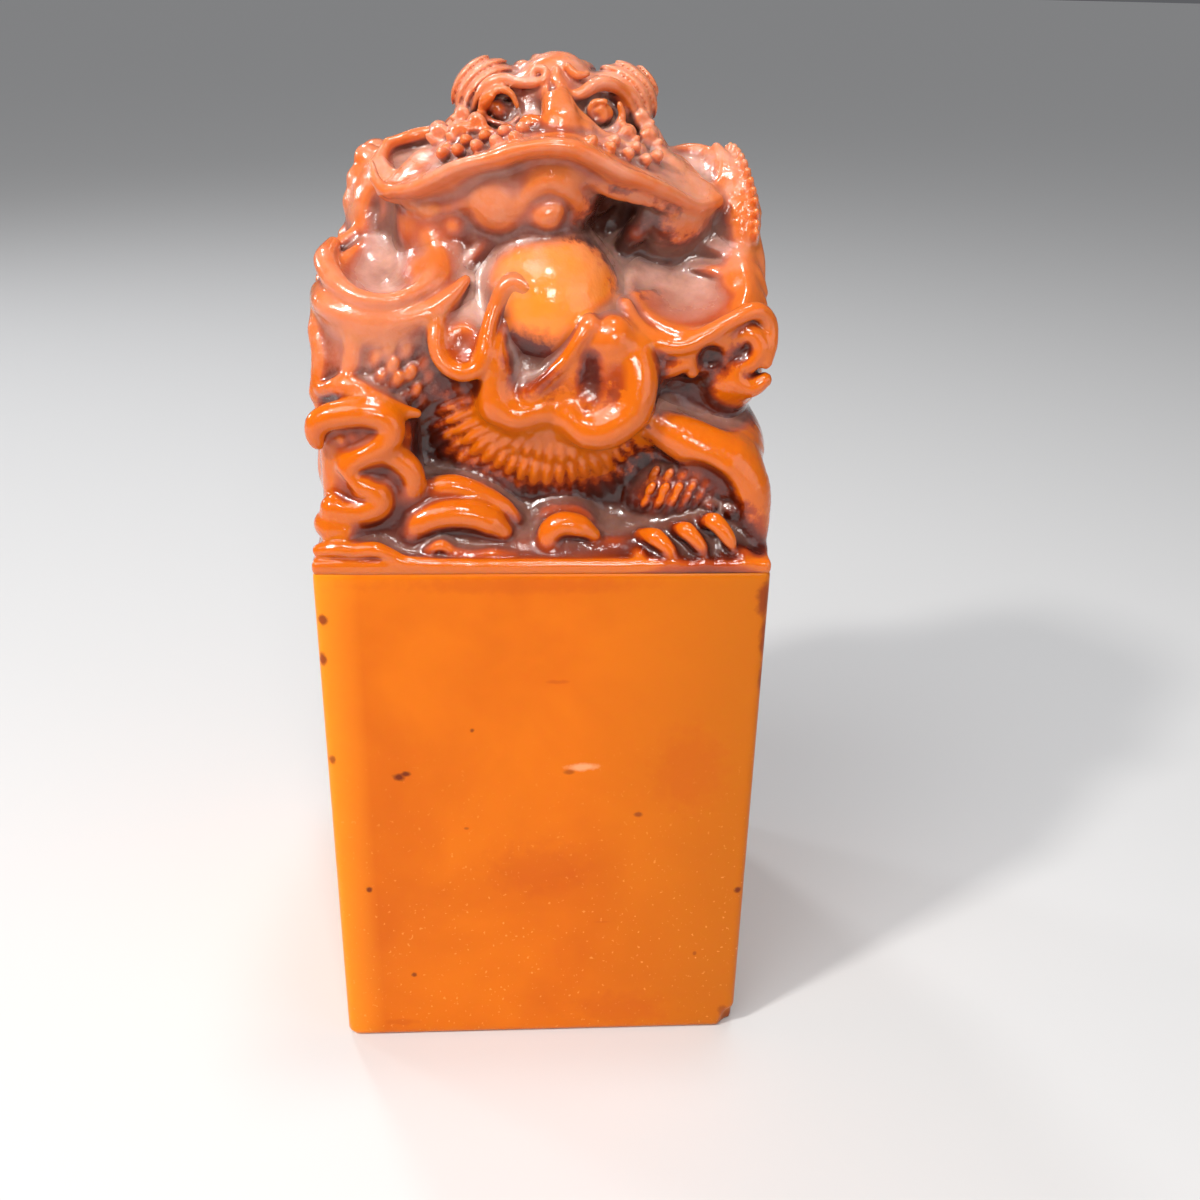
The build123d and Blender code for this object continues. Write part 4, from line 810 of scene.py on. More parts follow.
    # Brows: the left one ends in a curl, the right one starts in a hook at the frown
    clay.put(cord([
        (-5, -4, 32.9), (-4.7, -4.4, 33.8), (-3.8, -4.9, 34.6), (-2.8, -5.1, 34.9), (-1.8, -5.3, 34.7),
        (-0.7, -5.4, 34.7)], (0.35, 0.5, 0.55, 0.5, 0.45, 0.38)), 0.3)
    clay.put(cord([
        (-0.7, -5.4, 34.7), (0.2, -5.4, 35), (0.2, -5.2, 35.6), (-0.5, -5, 35.7), (-0.8, -5.1, 35.25)],
        (0.36, 0.36, 0.34, 0.32, 0.3)), 0.15)
    clay.put(cord([
        (1.05, -4.8, 35.7), (1.1, -5.3, 34.9), (1.35, -5.6, 34.1), (2.1, -5.7, 33.8), (3.1, -5.5, 34.1),
        (4.2, -5.1, 34.7), (5.4, -4.6, 34.6), (6.5, -4, 33.8), (7.1, -3.6, 32.7)],
        (0.3, 0.45, 0.45, 0.42, 0.5, 0.58, 0.55, 0.45, 0.25)), 0.3)
    clay.put(cord([(1.9, -4.6, 35.9), (2.6, -4.9, 35.3), (3.4, -4.7, 35.4)], (0.3, 0.36, 0.25)), 0.25)
    clay.cut(ball((0.7, -6.3, 34.6), (0.3, 0.7, 0.6)), 0.4)
    # Hair tufts at both sides of the crown
    clay.put(ball((-4.1, -1, 33.4), (2.95, 3.2, 2.85), (0, 20, 0)), 0.5)
    clay.put(ball((6.3, -1, 33.3), (2.95, 3.2, 2.8), (0, -14, 0)), 0.5)
    hair(clay, (-2.4, 32), spacing=0.66, deep=0.36, low=(-7.8, -5, 30.6), high=(-1.8, 4, 37.2))
    hair(clay, (4.4, 31.8), spacing=0.66, deep=0.34, low=(3.6, -4.6, 30.4), high=(10, 4, 37), phase=0.6)
    hair(clay, (1, 31), spacing=0.8, deep=0.12, low=(-1.8, -3.8, 35.4), high=(3.6, 2, 37.6), phase=0.3)
    # Short curls of beard above the lip, at both sides of the nose
    for x, y, h, r in (
            (-6.3, -6.9, 31.3, 0.85), (-5, -6.9, 32, 0.7), (-4.1, -7.9, 31, 0.75), (-2.7, -8.3, 31.4, 0.65),
            (-7.9, -5.6, 31.1, 0.85), (-6.2, -4.6, 32.3, 0.65), (-5.6, -8.6, 30.3, 0.6),
            (-7.3, -7.6, 29.9, 0.65), (5.2, -7.6, 30.9, 0.65), (6.5, -6.8, 31.3, 0.75),
            (7.3, -7.2, 30, 0.75), (8.3, -5.4, 31, 0.85), (9.2, -5.8, 29.6, 0.8), (7.9, -4, 32.2, 0.7),
            (10.4, -4.4, 28.9, 0.75), (6, -8.4, 29.6, 0.6)):
        turn = 1 if x < 0 else -1
        ring = spiral((x, h), outer=r, inner=0.2, start=200 if turn > 0 else -20, turns=0.85 * turn, count=8)
        clay.put(ball((x, y + 0.9, h), (r * 0.95, 1.1, r * 0.95)), 0.4)
        clay.put(cord(front(ring, y), (0.26, 0.4, 0.36, 0.26), steps=3), 0.2)
    # Locks behind the cheeks
    for flip, base in ((-1, -6.6), (1, 8.2)):
        for k in range(4):
            clay.put(cord([
                (base - flip * 1.4, -2.2 + 1.7 * k, 32.2), (base + flip * 0.3, -2.4 + 1.8 * k, 30.6),
                (base + flip * (1.2 + 0.2 * k), -2.6 + 1.9 * k, 28.8),
                (base + flip * 2.4, -2.6 + 2.1 * k, 27.4)], (0.9, 1.05, 0.95, 0.6)), 0.4)


@region("mouth_inside", (-11.8, -13.4, 17.6), (13.2, -2.6, 30.6), "tongue")
def carve_mouth(clay):
    """What lies behind the ball: the tongue under its arch, the gums and the corners of the jaw."""
    clay.put(crate((-10.4, -7, 18), (11.4, -3, 29.6), 1.6), 0)
    clay.put(ball((-6.6, -6.8, 24.4), (4.6, 3.6, 5)), 1.4)
    clay.put(ball((0.5, -8.4, 27.4), (4.2, 3.6, 3.6)), 1.4)
    clay.put(ball((9.6, -6.4, 25.4), (3.4, 3, 2.6)), 1.2)
    clay.cut(ball((5.4, -10, 23.6), (2.6, 4.4, 3.6), (0, 14, 0)), 0.9)
    # The arched palate with the tip of the tongue below it
    clay.cut(cord([
        (0.4, -13.6, 25), (0.4, -13.2, 27), (0.45, -12.8, 28)], (1.8, 1.8, 1.4), (1, 0.7, 1)), 0.7)
    clay.put(cord([(0.4, -6, 25.2), (0.3, -9, 25.9), (0.2, -11.6, 26.1)], (1.5, 1.45, 1.2)), 0.5)
    clay.put(ball((0.9, -11.9, 26.5), (0.62, 0.7, 0.6)), 0.35)
    clay.put(ball((-3, -10.2, 27), (2.8, 2.4, 2.8), (0, -20, 0)), 1.2)
    clay.put(ball((0.5, -10.8, 28.9), (3, 2.2, 1.8)), 1)
    clay.put(cord([
        (-2.2, -10.4, 25), (-1.9, -11.7, 26.6), (-0.7, -12.3, 28), (0.5, -12.4, 28.5), (1.7, -12.2, 28),
        (2.6, -11.4, 27), (3.4, -9.6, 26.2)], (0.4, 0.55, 0.55, 0.55, 0.5)), 0.6)
    # Folds and bosses of the gums
    for x, y, h, r in (
            (-3.9, -10, 25.2, 0.75), (-5.2, -10, 26.3, 0.85), (-6.6, -10.2, 25, 0.8),
            (-5.2, -10, 23.7, 0.75), (-8.2, -9.4, 26, 0.9), (-8.2, -9.6, 24, 0.9),
            (4.4, -7.6, 26.4, 0.8), (7.2, -8.2, 24.4, 0.8), (6, -7, 22, 0.8), (3.8, -9.2, 28, 0.7)):
        clay.put(ball((x, y, h), (r, r, r)), 0.6)
    clay.put(cord([
        (-3.6, -10.6, 24.6), (-4.8, -10.8, 23.2), (-6, -10.9, 22.2), (-6.6, -10.6, 23.4)],
        (0.3, 0.45, 0.45, 0.3)), 0.5)
    clay.put(ball((-7.4, -8.2, 23), (2.2, 2.2, 2.6), (0, 20, 0)), 1.2)
    clay.put(cord([
        (5.8, -6.6, 22.4), (6.6, -7.6, 23.6), (7.6, -8.4, 25), (8, -8.8, 26.4)], (0.6, 0.8, 0.7, 0.5)),
        0.6)
    clay.put(cord([(8.6, -7.2, 24.4), (10.6, -7.4, 24.9), (12.4, -6.6, 25)], (0.5, 0.7, 0.5)), 0.6)


coil_line = [
    (14.4, -7, 13.2), (15, -2, 14.2), (15, 4, 13), (13.6, 10.4, 11), (9, 14.2, 9.8),
    (2, 14.9, 11.2), (-5, 14.8, 13), (-11.2, 13.4, 12.2), (-14.6, 8.6, 10.6), (-15, 3, 12),
    (-14.4, -3, 14.4)]


@region("dragon_body", (-18.3, -14, -0.5), (18.3, 18.3, 32), "knob_core", "body_coil")
def carve_body(clay):
    clay.put(crate((-15, -12, -0.3), (15, 14.4, 16.6), 3.4), 0)
    clay.put(ball((0.6, 2.2, 20.6), (12, 10.4, 8.4)), 2.5)
    clay.cut(ball((0.9, -11, 23.4), (8.8, 7.2, 5.6)), 0.8)
    clay.put(cord(coil_line, (2.6, 3, 3.1, 3.1, 3.1, 3.1, 3.1, 3, 2.6)), 0.8)
    scaled_cord(clay, coil_line, radius=3.05, across=1.45, along=1.25, deep=0.34, start=1, stop=1)
    track = curve(coil_line, steps=5)
    for k in range(4, len(track) - 4, 2):
        run = unit(track[k + 1] - track[k - 1])
        out = np.cross(run, (0, 0, 1))
        out = out * (1 if out @ (track[k] * (1, 1, 0)) > 0 else -1)
        lean = np.array((0, 0, 1)) + out * 0.35
        place = track[k] + unit(lean) * 2.8
        clay.put(cord([place - run * 0.5, place + lean * 1.0 - run * 0.9], (0.62, 0.25)), 0.3)
    # Haunch and hind claws at the back, below the coil
    clay.put(ball((8.6, 13.2, 4.8), (4.4, 3.6, 4.6), (0, 24, 0)), 0.8)
    clay.put(cord([(9.6, 15.6, 3.6), (6.6, 16.2, 2.4), (3.8, 16.4, 1.8)], (1.8, 1.5, 1.2)), 0.7)
    for k in range(4):
        for j in range(4):
            x, h = 6.2 + 1.5 * k + 0.7 * (j % 2), 2.6 + 1.4 * j
            inside = bulge(x, h, (8.6, 4.8), (4.4, 4.6))
            if inside > 0.1:
                clay.put(ball((x, 13.2 + 3.6 * math.sqrt(inside) - 0.15, h), (0.7, 0.4, 0.8)), 0.25)
    for k in range(3):
        clay.put(cord([
            (4.6, 16.2, 2.9 - 0.8 * k), (3, 17, 2.5 - 0.75 * k), (2, 16.9, 1.8 - 0.5 * k)],
            (0.55, 0.6, 0.3)), 0.3)


@region("mane", (-11.6, -2.5, 15), (13, 15.6, 36.8), "mane_locks", "left_mane", "right_mane")
def carve_mane(clay):
    """Locks that fall from the crown over the nape."""
    clay.put(ball((0.9, 3.4, 29), (7.6, 6.2, 6.6)), 0)
    for row, (start_y, top, spread, wide) in enumerate(((2.6, 35.4, 6.2, 1), (1.4, 34.4, 5, 1.05))):
        count = 7 + row * 2
        for k in range(count):
            u = (k + 0.5) / count * 2 - 1
            x = 0.9 + u * (spread + row * 2.6)
            sway = 0.7 * math.sin(2.4 * k + row)
            fall = 2.8 * u * u
            clay.put(cord([
                (0.9 + u * 3.4, start_y, top - 1.2 * u * u),
                (0.9 + u * (5.2 + row), 6.0 + row, 32.6 - fall - row * 1.5),
                (x + sway, 9.6 + 0.8 * row - fall * 0.5, 28.0 - fall - row * 2.6),
                (x - sway, 11.6 + 0.6 * row - fall * 0.6, 23.4 - fall - row * 2.2),
                (x + sway * 1.3, 13.2 - fall * 0.5, 20.2 - fall * 0.6 - row * 1.4),
                (x + sway * 0.4 + 0.7, 13.8 - fall * 0.5, 18.8 - fall * 0.4 - row)],
                (0.8, 1.05 * wide, 1.1 * wide, 1, 0.75, 0.3), steps=4), 0.25)
    for k in range(5):
        x = -1.5 + 1.2 * k
        clay.put(cord([
            (x, -1.2, 36.2 - 0.12 * (k - 2) ** 2), (x * 1.15, 1.4, 36.0 - 0.2 * (k - 2) ** 2),
            (x * 1.3, 4.2, 34.2 - 0.2 * (k - 2) ** 2)], (0.35, 0.6, 0.4)), 0.25)


@region(
    "back_clouds", (-18.3, -8.5, 0.4), (18.3, 18.3, 9.6), "back_left_cloud", "back_right_cloud",
    "left_side_cloud", "right_side_cloud")
def carve_back_clouds(clay):
    clay.put(crate((-15.4, -7, 0.8), (15.4, 15.2, 6.2), 2), 0)
    for x, flip in ((-9.6, 1), (-1.6, -1)):
        ring = spiral((x, 5), outer=2.7, inner=0.7, start=90 + flip * 60, turns=flip * 1.35, count=15)
        clay.put(cord([(u, 16.6, h) for u, h in ring], (0.75, 0.85, 0.75, 0.6)), 0.35)
        clay.put(cord([
            (x + flip * 1.2, 16.4, 7.4), (x + flip * 3.2, 16.2, 6.6), (x + flip * 4.6, 16, 4.6),
            (x + flip * 5.6, 16, 2.6)], (0.5, 0.85, 0.8, 0.5)), 0.35)
    for flip in (-1, 1):
        for y in (-2.2, 5.4, 11.8):
            ring = spiral((y, 4.9), outer=2.3, inner=0.6, start=120, turns=1.3, count=14)
            clay.put(cord([(flip * 16.6, v, h) for v, h in ring], (0.7, 0.8, 0.7, 0.55)), 0.35)
            clay.put(cord([
                (flip * 16.5, y + 1, 7), (flip * 16.4, y + 3, 6.4), (flip * 16.2, y + 4.2, 4.2)],
                (0.5, 0.75, 0.5)), 0.35)


@region(
    "stone_shaft", (-18.4, -18.4, -shaft_height - 0.4), (18.4, 18.4, 0.4), "seal_block",
    pitch=0.3)
def carve_shaft(clay):
    clay.put(crate((-half_width, -half_width, -shaft_height), (half_width, half_width, 0), 0.5), 0)
    # Small chips along the edges and pits in the front face
    for x, y, h, r in (
            (18, -18, -46.6, 1.5), (17.6, -18.2, -47.4, 1.3), (-18.2, -18.1, -22.5, 0.55),
            (18.2, -18.2, -9, 0.5), (-18.2, 18.2, -31, 0.9), (18.2, 18.2, -40.6, 0.8),
            (-17.9, -18, -47.6, 0.8), (18.2, -18.1, -30, 0.5)):
        clay.cut(ball((x, y, h), (r * 0.8, r * 0.8, r)), 0.2)


# One stone: where regions meet, the crease between them is filled, and each keeps the part that is
# nearest to it. A piece goes on a little below its neighbour, so no gap shows.

run_together, tuck, overlap = 0.8, 0.5, 0.7
knob_names = [name for name in clays if name != "stone_shaft"]
knob_reach, knob_low, knob_high = 19.2, -1.4, 38.4
first = [math.floor(low / GRAIN) for low in (-knob_reach, -knob_reach, knob_low)]
count = [math.ceil(size / GRAIN) for size in (2 * knob_reach, 2 * knob_reach, knob_high - knob_low)]
whole, nearest, second = (np.full(count, FAR, np.float32) for _ in range(3))
whole_axes = [(np.arange(n, dtype=np.float32) + a) * np.float32(GRAIN) for a, n in zip(first, count)]
cuts_of = {}
for name in knob_names:
    clay = clays[name]
    cuts = tuple(slice(a - b, a - b + n) for a, b, n in zip(clay.first, first, clay.field.shape))
    cuts_of[name] = cuts
    whole[cuts] = least(whole[cuts], clay.field, run_together)
    second[cuts] = np.minimum(second[cuts], np.maximum(nearest[cuts], clay.field))
    nearest[cuts] = np.minimum(nearest[cuts], clay.field)

# How full of stone the space is, near (fine) and further off (broad): recesses read high
probe_pitch, probe_reach, probe_low, probe_high = 0.36, 22.0, -6.0, 41.0
probe = [np.arange(a, b, probe_pitch)
         for a, b in ((-probe_reach, probe_reach), (-probe_reach, probe_reach), (probe_low, probe_high))]
grid = np.stack(np.meshgrid(*probe, indexing="ij"), -1)


def stone_share():
    """The share of stone in each cell of the probe, with the shaft below the carving."""
    depth = sample(whole_axes, whole, grid.reshape(-1, 3), FAR).reshape(grid.shape[:3])
    share = np.clip(0.5 - depth / probe_pitch, 0, 1)
    share[(grid[..., 2] < 0) & np.all(np.abs(grid[..., :2]) < half_width, axis=-1)] = 1
    return share


def blurred(values, radius):
    """Three running means along each axis, near a Gaussian of that radius in millimetres."""
    width = max(int(round(radius / probe_pitch)), 1)
    for axis in range(3):
        for _ in range(3):
            padded = np.concatenate([np.repeat(values.take([0], axis), width + 1, axis), values,
                                     np.repeat(values.take([-1], axis), width, axis)], axis)
            total = np.cumsum(padded, axis)
            count = values.shape[axis]
            values = (total.take(range(2 * width + 1, 2 * width + 1 + count), axis)
                      - total.take(range(count), axis)) / (2 * width + 1)
    return values


# The carver's tools leave no deep narrow slits: each crevice is filled to where it opens out, less
# so on the head, whose creases are finer
crevice_radius, crevice_share, crevice_scale, crevice_soft = 1.1, 0.60, 4.0, 0.7
head_start, head_fade, head_relief = 28.5, 2.0, 0.2
level = blurred(stone_share(), crevice_radius).astype(np.float32)
for axis in range(3):
    place = (whole_axes[axis] - probe[axis][0]) / probe_pitch
    low = np.clip(place.astype(int), 0, len(probe[axis]) - 2)
    share = (place - low).astype(np.float32).reshape([-1 if k == axis else 1 for k in range(3)])
    level = level.take(low, axis) * (1 - share) + level.take(low + 1, axis) * share
level -= head_relief * np.clip((whole_axes[2] - head_start) / head_fade, 0, 1)
whole = least(whole, (crevice_share - level) * crevice_scale, crevice_soft)
del level

for name in knob_names:
    clay, cuts = clays[name], cuts_of[name]
    others = np.where(clay.field <= nearest[cuts], second[cuts], nearest[cuts])
    beyond = clay.field - others
    clay.field = np.maximum(whole[cuts] + tuck * np.maximum(beyond, 0) ** 2, beyond - overlap)

fine_radius, fine_lift, broad_radius, broad_lift = 0.4, 0.15, 1.5, 0.3
fine_fill, broad_fill = (blurred(stone_share(), radius) for radius in (fine_radius, broad_radius))


# Skins: one mesh for each region, with how deep each point lies kept on it for the painted shade

def added(name, data):
    made = bpy.data.objects.new(name, data)
    bpy.context.scene.collection.objects.link(made)
    return made


def skin_piece(name, nodes):
    points, faces = closed_skins(*clays[name].skin())
    mesh = bpy.data.meshes.new(name)
    mesh.vertices.add(len(points))
    places = np.stack([points[:, 0] * MM, points[:, 1] * MM, shaft_high.z + points[:, 2] * MM], 1)
    mesh.vertices.foreach_set("co", places.astype(np.float32).ravel())
    mesh.loops.add(faces.size)
    mesh.loops.foreach_set("vertex_index", faces.astype(np.int32).ravel())
    mesh.polygons.add(len(faces))
    mesh.polygons.foreach_set("loop_start", np.arange(0, faces.size, 4, dtype=np.int32))
    mesh.update(calc_edges=True)
    mesh.polygons.foreach_set("use_smooth", np.ones(len(faces), bool))
    normals = np.empty(len(points) * 3, np.float32)
    mesh.vertices.foreach_get("normal", normals)
    normals = normals.reshape(-1, 3)
    for key, values in (("near_fill", sample(probe, fine_fill, points + normals * fine_lift, 0.0)),
                        ("broad_fill", sample(probe, broad_fill, points + normals * broad_lift, 0.0)),
                        ("facing_up", normals[:, 2])):
        mesh.attributes.new(key, "FLOAT", "POINT").data.foreach_set("value", values.astype(np.float32))
    piece = added(name, mesh)
    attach(piece, "root")
    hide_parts(*nodes)
    return piece


pieces = {name: skin_piece(name, nodes_of[name]) for name in clays}


# Stone: amber-orange, with painted shade darker and redder in recesses, dust on floors that face up

def feed(entry, value):
    """Link a worked-out value to an entry, or set a plain number or colour on it."""
    if isinstance(value, Value):
        value.tree.links.new(value.socket, entry)
    else:
        entry.default_value = (*value, 1) if isinstance(value, tuple) else value


class Value:
    """A number or colour worked out in a material; arithmetic on it adds nodes."""

    def __init__(self, tree, socket):
        self.tree, self.socket = tree, socket

    def node(self, kind, output, *entries, **settings):
        """A node fed with entries by number or name, and the value it gives."""
        made = self.tree.nodes.new(kind)
        for key, value in settings.items():
            setattr(made, key, value)
        for key, value in entries:
            feed(made.inputs[key], value)
        return Value(self.tree, made.outputs[output])

    def worked(self, operation, a, b, clamp=False):
        return self.node("ShaderNodeMath", 0, (0, a), (1, b), operation=operation, use_clamp=clamp)

    def __add__(self, other):
        return self.worked("ADD", self, other)

    def __mul__(self, other):
        return self.worked("MULTIPLY", self, other)

    def __sub__(self, other):
        return self.worked("SUBTRACT", self, other)

    def __rsub__(self, other):
        return self.worked("SUBTRACT", other, self)

    def most(self, other):
        return self.worked("MAXIMUM", self, other)

    def between(self, start, stop):
        """0 where the value is at start, 1 where it is at stop, even between."""
        return self.node("ShaderNodeMapRange", 0, ("Value", self), ("From Min", start), ("From Max", stop))

    def ramp(self, *stops):
        """Greys or colours at places along the value, even between."""
        made = self.node("ShaderNodeValToRGB", 0, (0, self))
        elements = made.socket.node.color_ramp.elements
        while len(elements) < len(stops):
            elements.new(0.5)
        for element, (place, color) in zip(elements, stops):
            element.position = place
            element.color = (*color, 1) if isinstance(color, tuple) else (color, color, color, 1)
        return made

    def blend(self, a, b):
        """From colour a to colour b by this share."""
        return self.node("ShaderNodeMix", 2, (0, self), (6, a), (7, b), data_type="RGBA")

    def noise(self, scale, detail, roughness, distortion=0.0):
        return self.node("ShaderNodeTexNoise", "Fac", ("Vector", self), ("Scale", scale), ("Detail", detail),
                         ("Roughness", roughness), ("Distortion", distortion))

    def spot(self, place, wide, tall, thick=2.0):
        """A mark with a ragged edge about a place in millimetres, 1 at its middle; self is the point."""
        shifted = self.node("ShaderNodeVectorMath", 0, (0, self), operation="SUBTRACT")
        shifted.socket.node.inputs[1].default_value = (place[0] * MM, place[1] * MM, height_of(place[2]))
        scaled = self.node("ShaderNodeVectorMath", 0, (0, shifted), operation="MULTIPLY")
        scaled.socket.node.inputs[1].default_value = (1 / (wide * MM), 1 / (thick * MM), 1 / (tall * MM))
        length = self.node("ShaderNodeVectorMath", "Value", (0, scaled), operation="LENGTH")
        ragged = (self.noise(edge_scale, 3, 0.6) - 0.5) * edge_rag
        return (length + ragged).between(*edge_fade)


def height_of(h):
    """Metres up for a height in millimetres over the shaft's top."""
    return shaft_high.z + h * MM


# Stone colours from the open to the deepest recess; the darker two are painted shade
bright_stone, mid_stone, shaded_stone = (0.64, 0.128, 0.002), (0.42, 0.055, 0.004), (0.12, 0.010, 0.002)
deepest_shaded_stone, dust_and_sheen_color = tuple(v * 0.35 for v in shaded_stone), (0.72, 0.38, 0.29)
shaded_side, lit_edge, gold_speck = (0.54, 0.135, 0.002), (0.95, 0.28, 0.01), (0.95, 0.42, 0.10)
pit, stain, bloom, rust = (0.16, 0.018, 0.004), (0.55, 0.085, 0.004), (0.85, 0.36, 0.16), (0.26, 0.04, 0.006)
edge_scale, edge_rag, edge_fade = 900, 1.4, (1.1, 0.5)
# How far the stone round a point counts: the share where a recess starts, how fast its painted shade deepens
near_start, near_gain, broad_start, broad_gain, cloud_gain = 0.42, 1.5, 0.40, 2.6, 0.5
# Strengths: painted shade on the right front, in the throat and hollows; painted light on the chest and leg
right_shade_gain, foot_gain, dust_and_sheen_share, dust_rough, bared = 0.42, 0.12, 0.8, 0.3, 0.62
throat_shade, hollow_shade, chest_painted_light, leg_painted_light, flank_sheen = 0.7, 0.3, 0.5, 0.45, 0.42
# Patches of the carving: middle, half width, half height, half depth
chest_patch, leg_patch = ((0.6, -14.0, 9.4), 9.5, 4.8, 6.0), ((13.5, -13.0, 9.5), 8.0, 7.0, 7.0)
throat_patch, flank_patch = ((6.6, -8.0, 24.6), 5.0, 4.6, 6.0), ((-13.5, -14.0, 19.5), 7.0, 7.0, 6.0)
left_hollow, right_hollow = ((-1.0, -15.2, 15.8), 2.1, 2.6, 2.4), ((3.4, -15.6, 14.5), 1.1, 2.0, 2.0)
palate_patch, nose_patch = ((0.5, -9.5, 25.4), 9.5, 2.8, 5.0), ((0.7, -9.5, 31.6), 2.4, 3.0, 4.0)
eye_patch = ((-3.3, -5.0, 32.6), 1.8, 1.6, 2.5)
# Marks on the shaft's front face: place, half width, half height, strength, colour
shaft_marks = [
    (-12.1, -18.9, 0.57, 0.46, 0.95, pit), (-11.5, -18.6, 0.47, 0.3, 0.92, pit),
    (-15.2, -30.5, 0.3, 0.32, 0.92, pit), (-5.9, -14.4, 0.24, 0.24, 0.8, pit),
    (-11.7, -40.2, 0.27, 0.27, 0.8, pit), (17.4, -31.3, 0.35, 0.41, 0.92, pit),
    (1.1, -9.9, 1.08, 0.22, 0.6, stain), (3.3, -18.1, 1.49, 0.43, 0.92, bloom),
    (8.2, -23.0, 0.46, 0.3, 0.8, rust), (-17.4, -4.1, 0.41, 0.47, 0.92, rust),
    (-17.6, -7.6, 0.35, 0.68, 0.92, rust), (-17.5, -17.1, 0.32, 0.54, 0.8, rust),
    (17.6, -2.5, 0.68, 1.49, 0.92, rust), (17.9, -6.0, 0.47, 2.16, 0.8, rust),
    (18.0, -9.8, 0.41, 1.62, 0.8, rust), (-0.3, -28.7, 4.59, 2.97, 0.32, stain),
    (12.4, -18.5, 3.51, 4.59, 0.32, stain), (7.2, -44.9, 4.86, 2.16, 0.36, stain),
    (-2.0, -1.2, 12.15, 0.81, 0.36, stain), (18.0, -47.1, 1.35, 1.22, 0.92, rust),
    (-6.6, -24.2, 0.24, 0.16, 0.6, rust), (13.9, -38.4, 0.2, 0.26, 0.6, rust),
    (5.4, -34.6, 0.9, 0.14, 0.35, stain), (-13.0, -45.8, 1.6, 0.4, 0.35, stain),
    (16.9, -45.4, 0.5, 0.8, 0.6, rust), (2.2, -18.6, 0.5, 0.3, 0.6, rust)]


def carved_color(where, axes, cloudy, bright, mid):
    """The carving's colour with painted shade and light, and its share of dust and painted sheen."""
    near, broad, up = (where.node("ShaderNodeAttribute", "Fac", attribute_name=key)
                       for key in ("near_fill", "broad_fill", "facing_up"))
    across, back, height = axes
    depth = (near - near_start) * near_gain + (broad - broad_start) * broad_gain + (cloudy - 0.5) * cloud_gain
    # Painted shade on the right front and the throat; darker towards the foot; painted light on chest and leg
    right = (across.between(4 * MM, 13 * MM) * right_shade_gain * height.between(height_of(19), height_of(15))
             * back.between(-5 * MM, -10 * MM))
    foot = height.between(height_of(13), height_of(0)) * foot_gain
    throat = where.spot(*throat_patch) * throat_shade
    painted_light = where.spot(*chest_patch) * chest_painted_light + where.spot(*leg_patch) * leg_painted_light
    depth = depth.worked("ADD", depth, foot + right + throat, clamp=True)
    # Painted light on the chest and the leg takes away from the painted shade
    depth = depth.worked("SUBTRACT", depth, painted_light, clamp=True)
    # Painted shade inside the two drop-shaped hollows of the cradle
    depth = depth + where.spot(*left_hollow).most(where.spot(*right_hollow)) * hollow_shade
    # Painted shade: darker, redder colours the deeper a point lies in a recess
    color = depth.ramp((0.0, bright), (0.15, mid), (0.42, shaded_stone), (0.8, deepest_shaded_stone))
    # Dust on up-facing floors; dust and pale painted sheen on tops high up; painted sheen on the left flank
    floors = up.ramp((0.12, 0), (0.55, 1)) * broad.ramp((0.42, 0), (0.55, 1))
    floors = floors * (height.between(height_of(8), height_of(17)) * 0.7 + 0.3)
    upper_band = height.between(height_of(17), height_of(26))
    patchy = where.noise(210, 2, 0.5, 0.6).ramp((0.4, 0.35), (0.56, 1))
    tops = up.ramp((0.0, 0.4), (0.6, 0.72)) * upper_band * patchy
    # Dust on floors, dust and painted sheen on tops, painted sheen on the left flank
    dust_and_sheen = floors.most(tops).most(where.spot(*flank_patch) * flank_sheen)
    dust_and_sheen = dust_and_sheen * where.noise(420, 4, 0.6).ramp((0.3, 0.6), (0.6, 1))
    bare = where.spot(*palate_patch).most(where.spot(*nose_patch).most(where.spot(*eye_patch)))
    dust_and_sheen = dust_and_sheen * (1.0 - bare * bared)
    return (dust_and_sheen * dust_and_sheen_share).blend(color, dust_and_sheen_color), dust_and_sheen


def shaft_color(where, axes, cloudy, bright, mid):
    """The colour of the polished shaft, with painted shade and light across it and the marks on its front."""
    across, height = axes[0], axes[2]
    color = cloudy.ramp((0.35, 0), (0.7, 1)).blend(bright, mid)
    # Painted shade towards the right side and a painted highlight along the left edge
    color = across.between(2 * MM, half_width * MM).blend(color, shaded_side)
    color = across.between(-14.5 * MM, -half_width * MM).blend(color, lit_edge)
    specks = where.noise(2600, 2, 0.5).ramp((0.66, 0), (0.74, 0.5))
    color = (specks * height.between(height_of(-14), height_of(-34))).blend(color, gold_speck)
    for x, h, wide, tall, share, shade in shaft_marks:
        color = (where.spot((x, -half_width, h), wide, tall) * share).blend(color, shade)
    return color


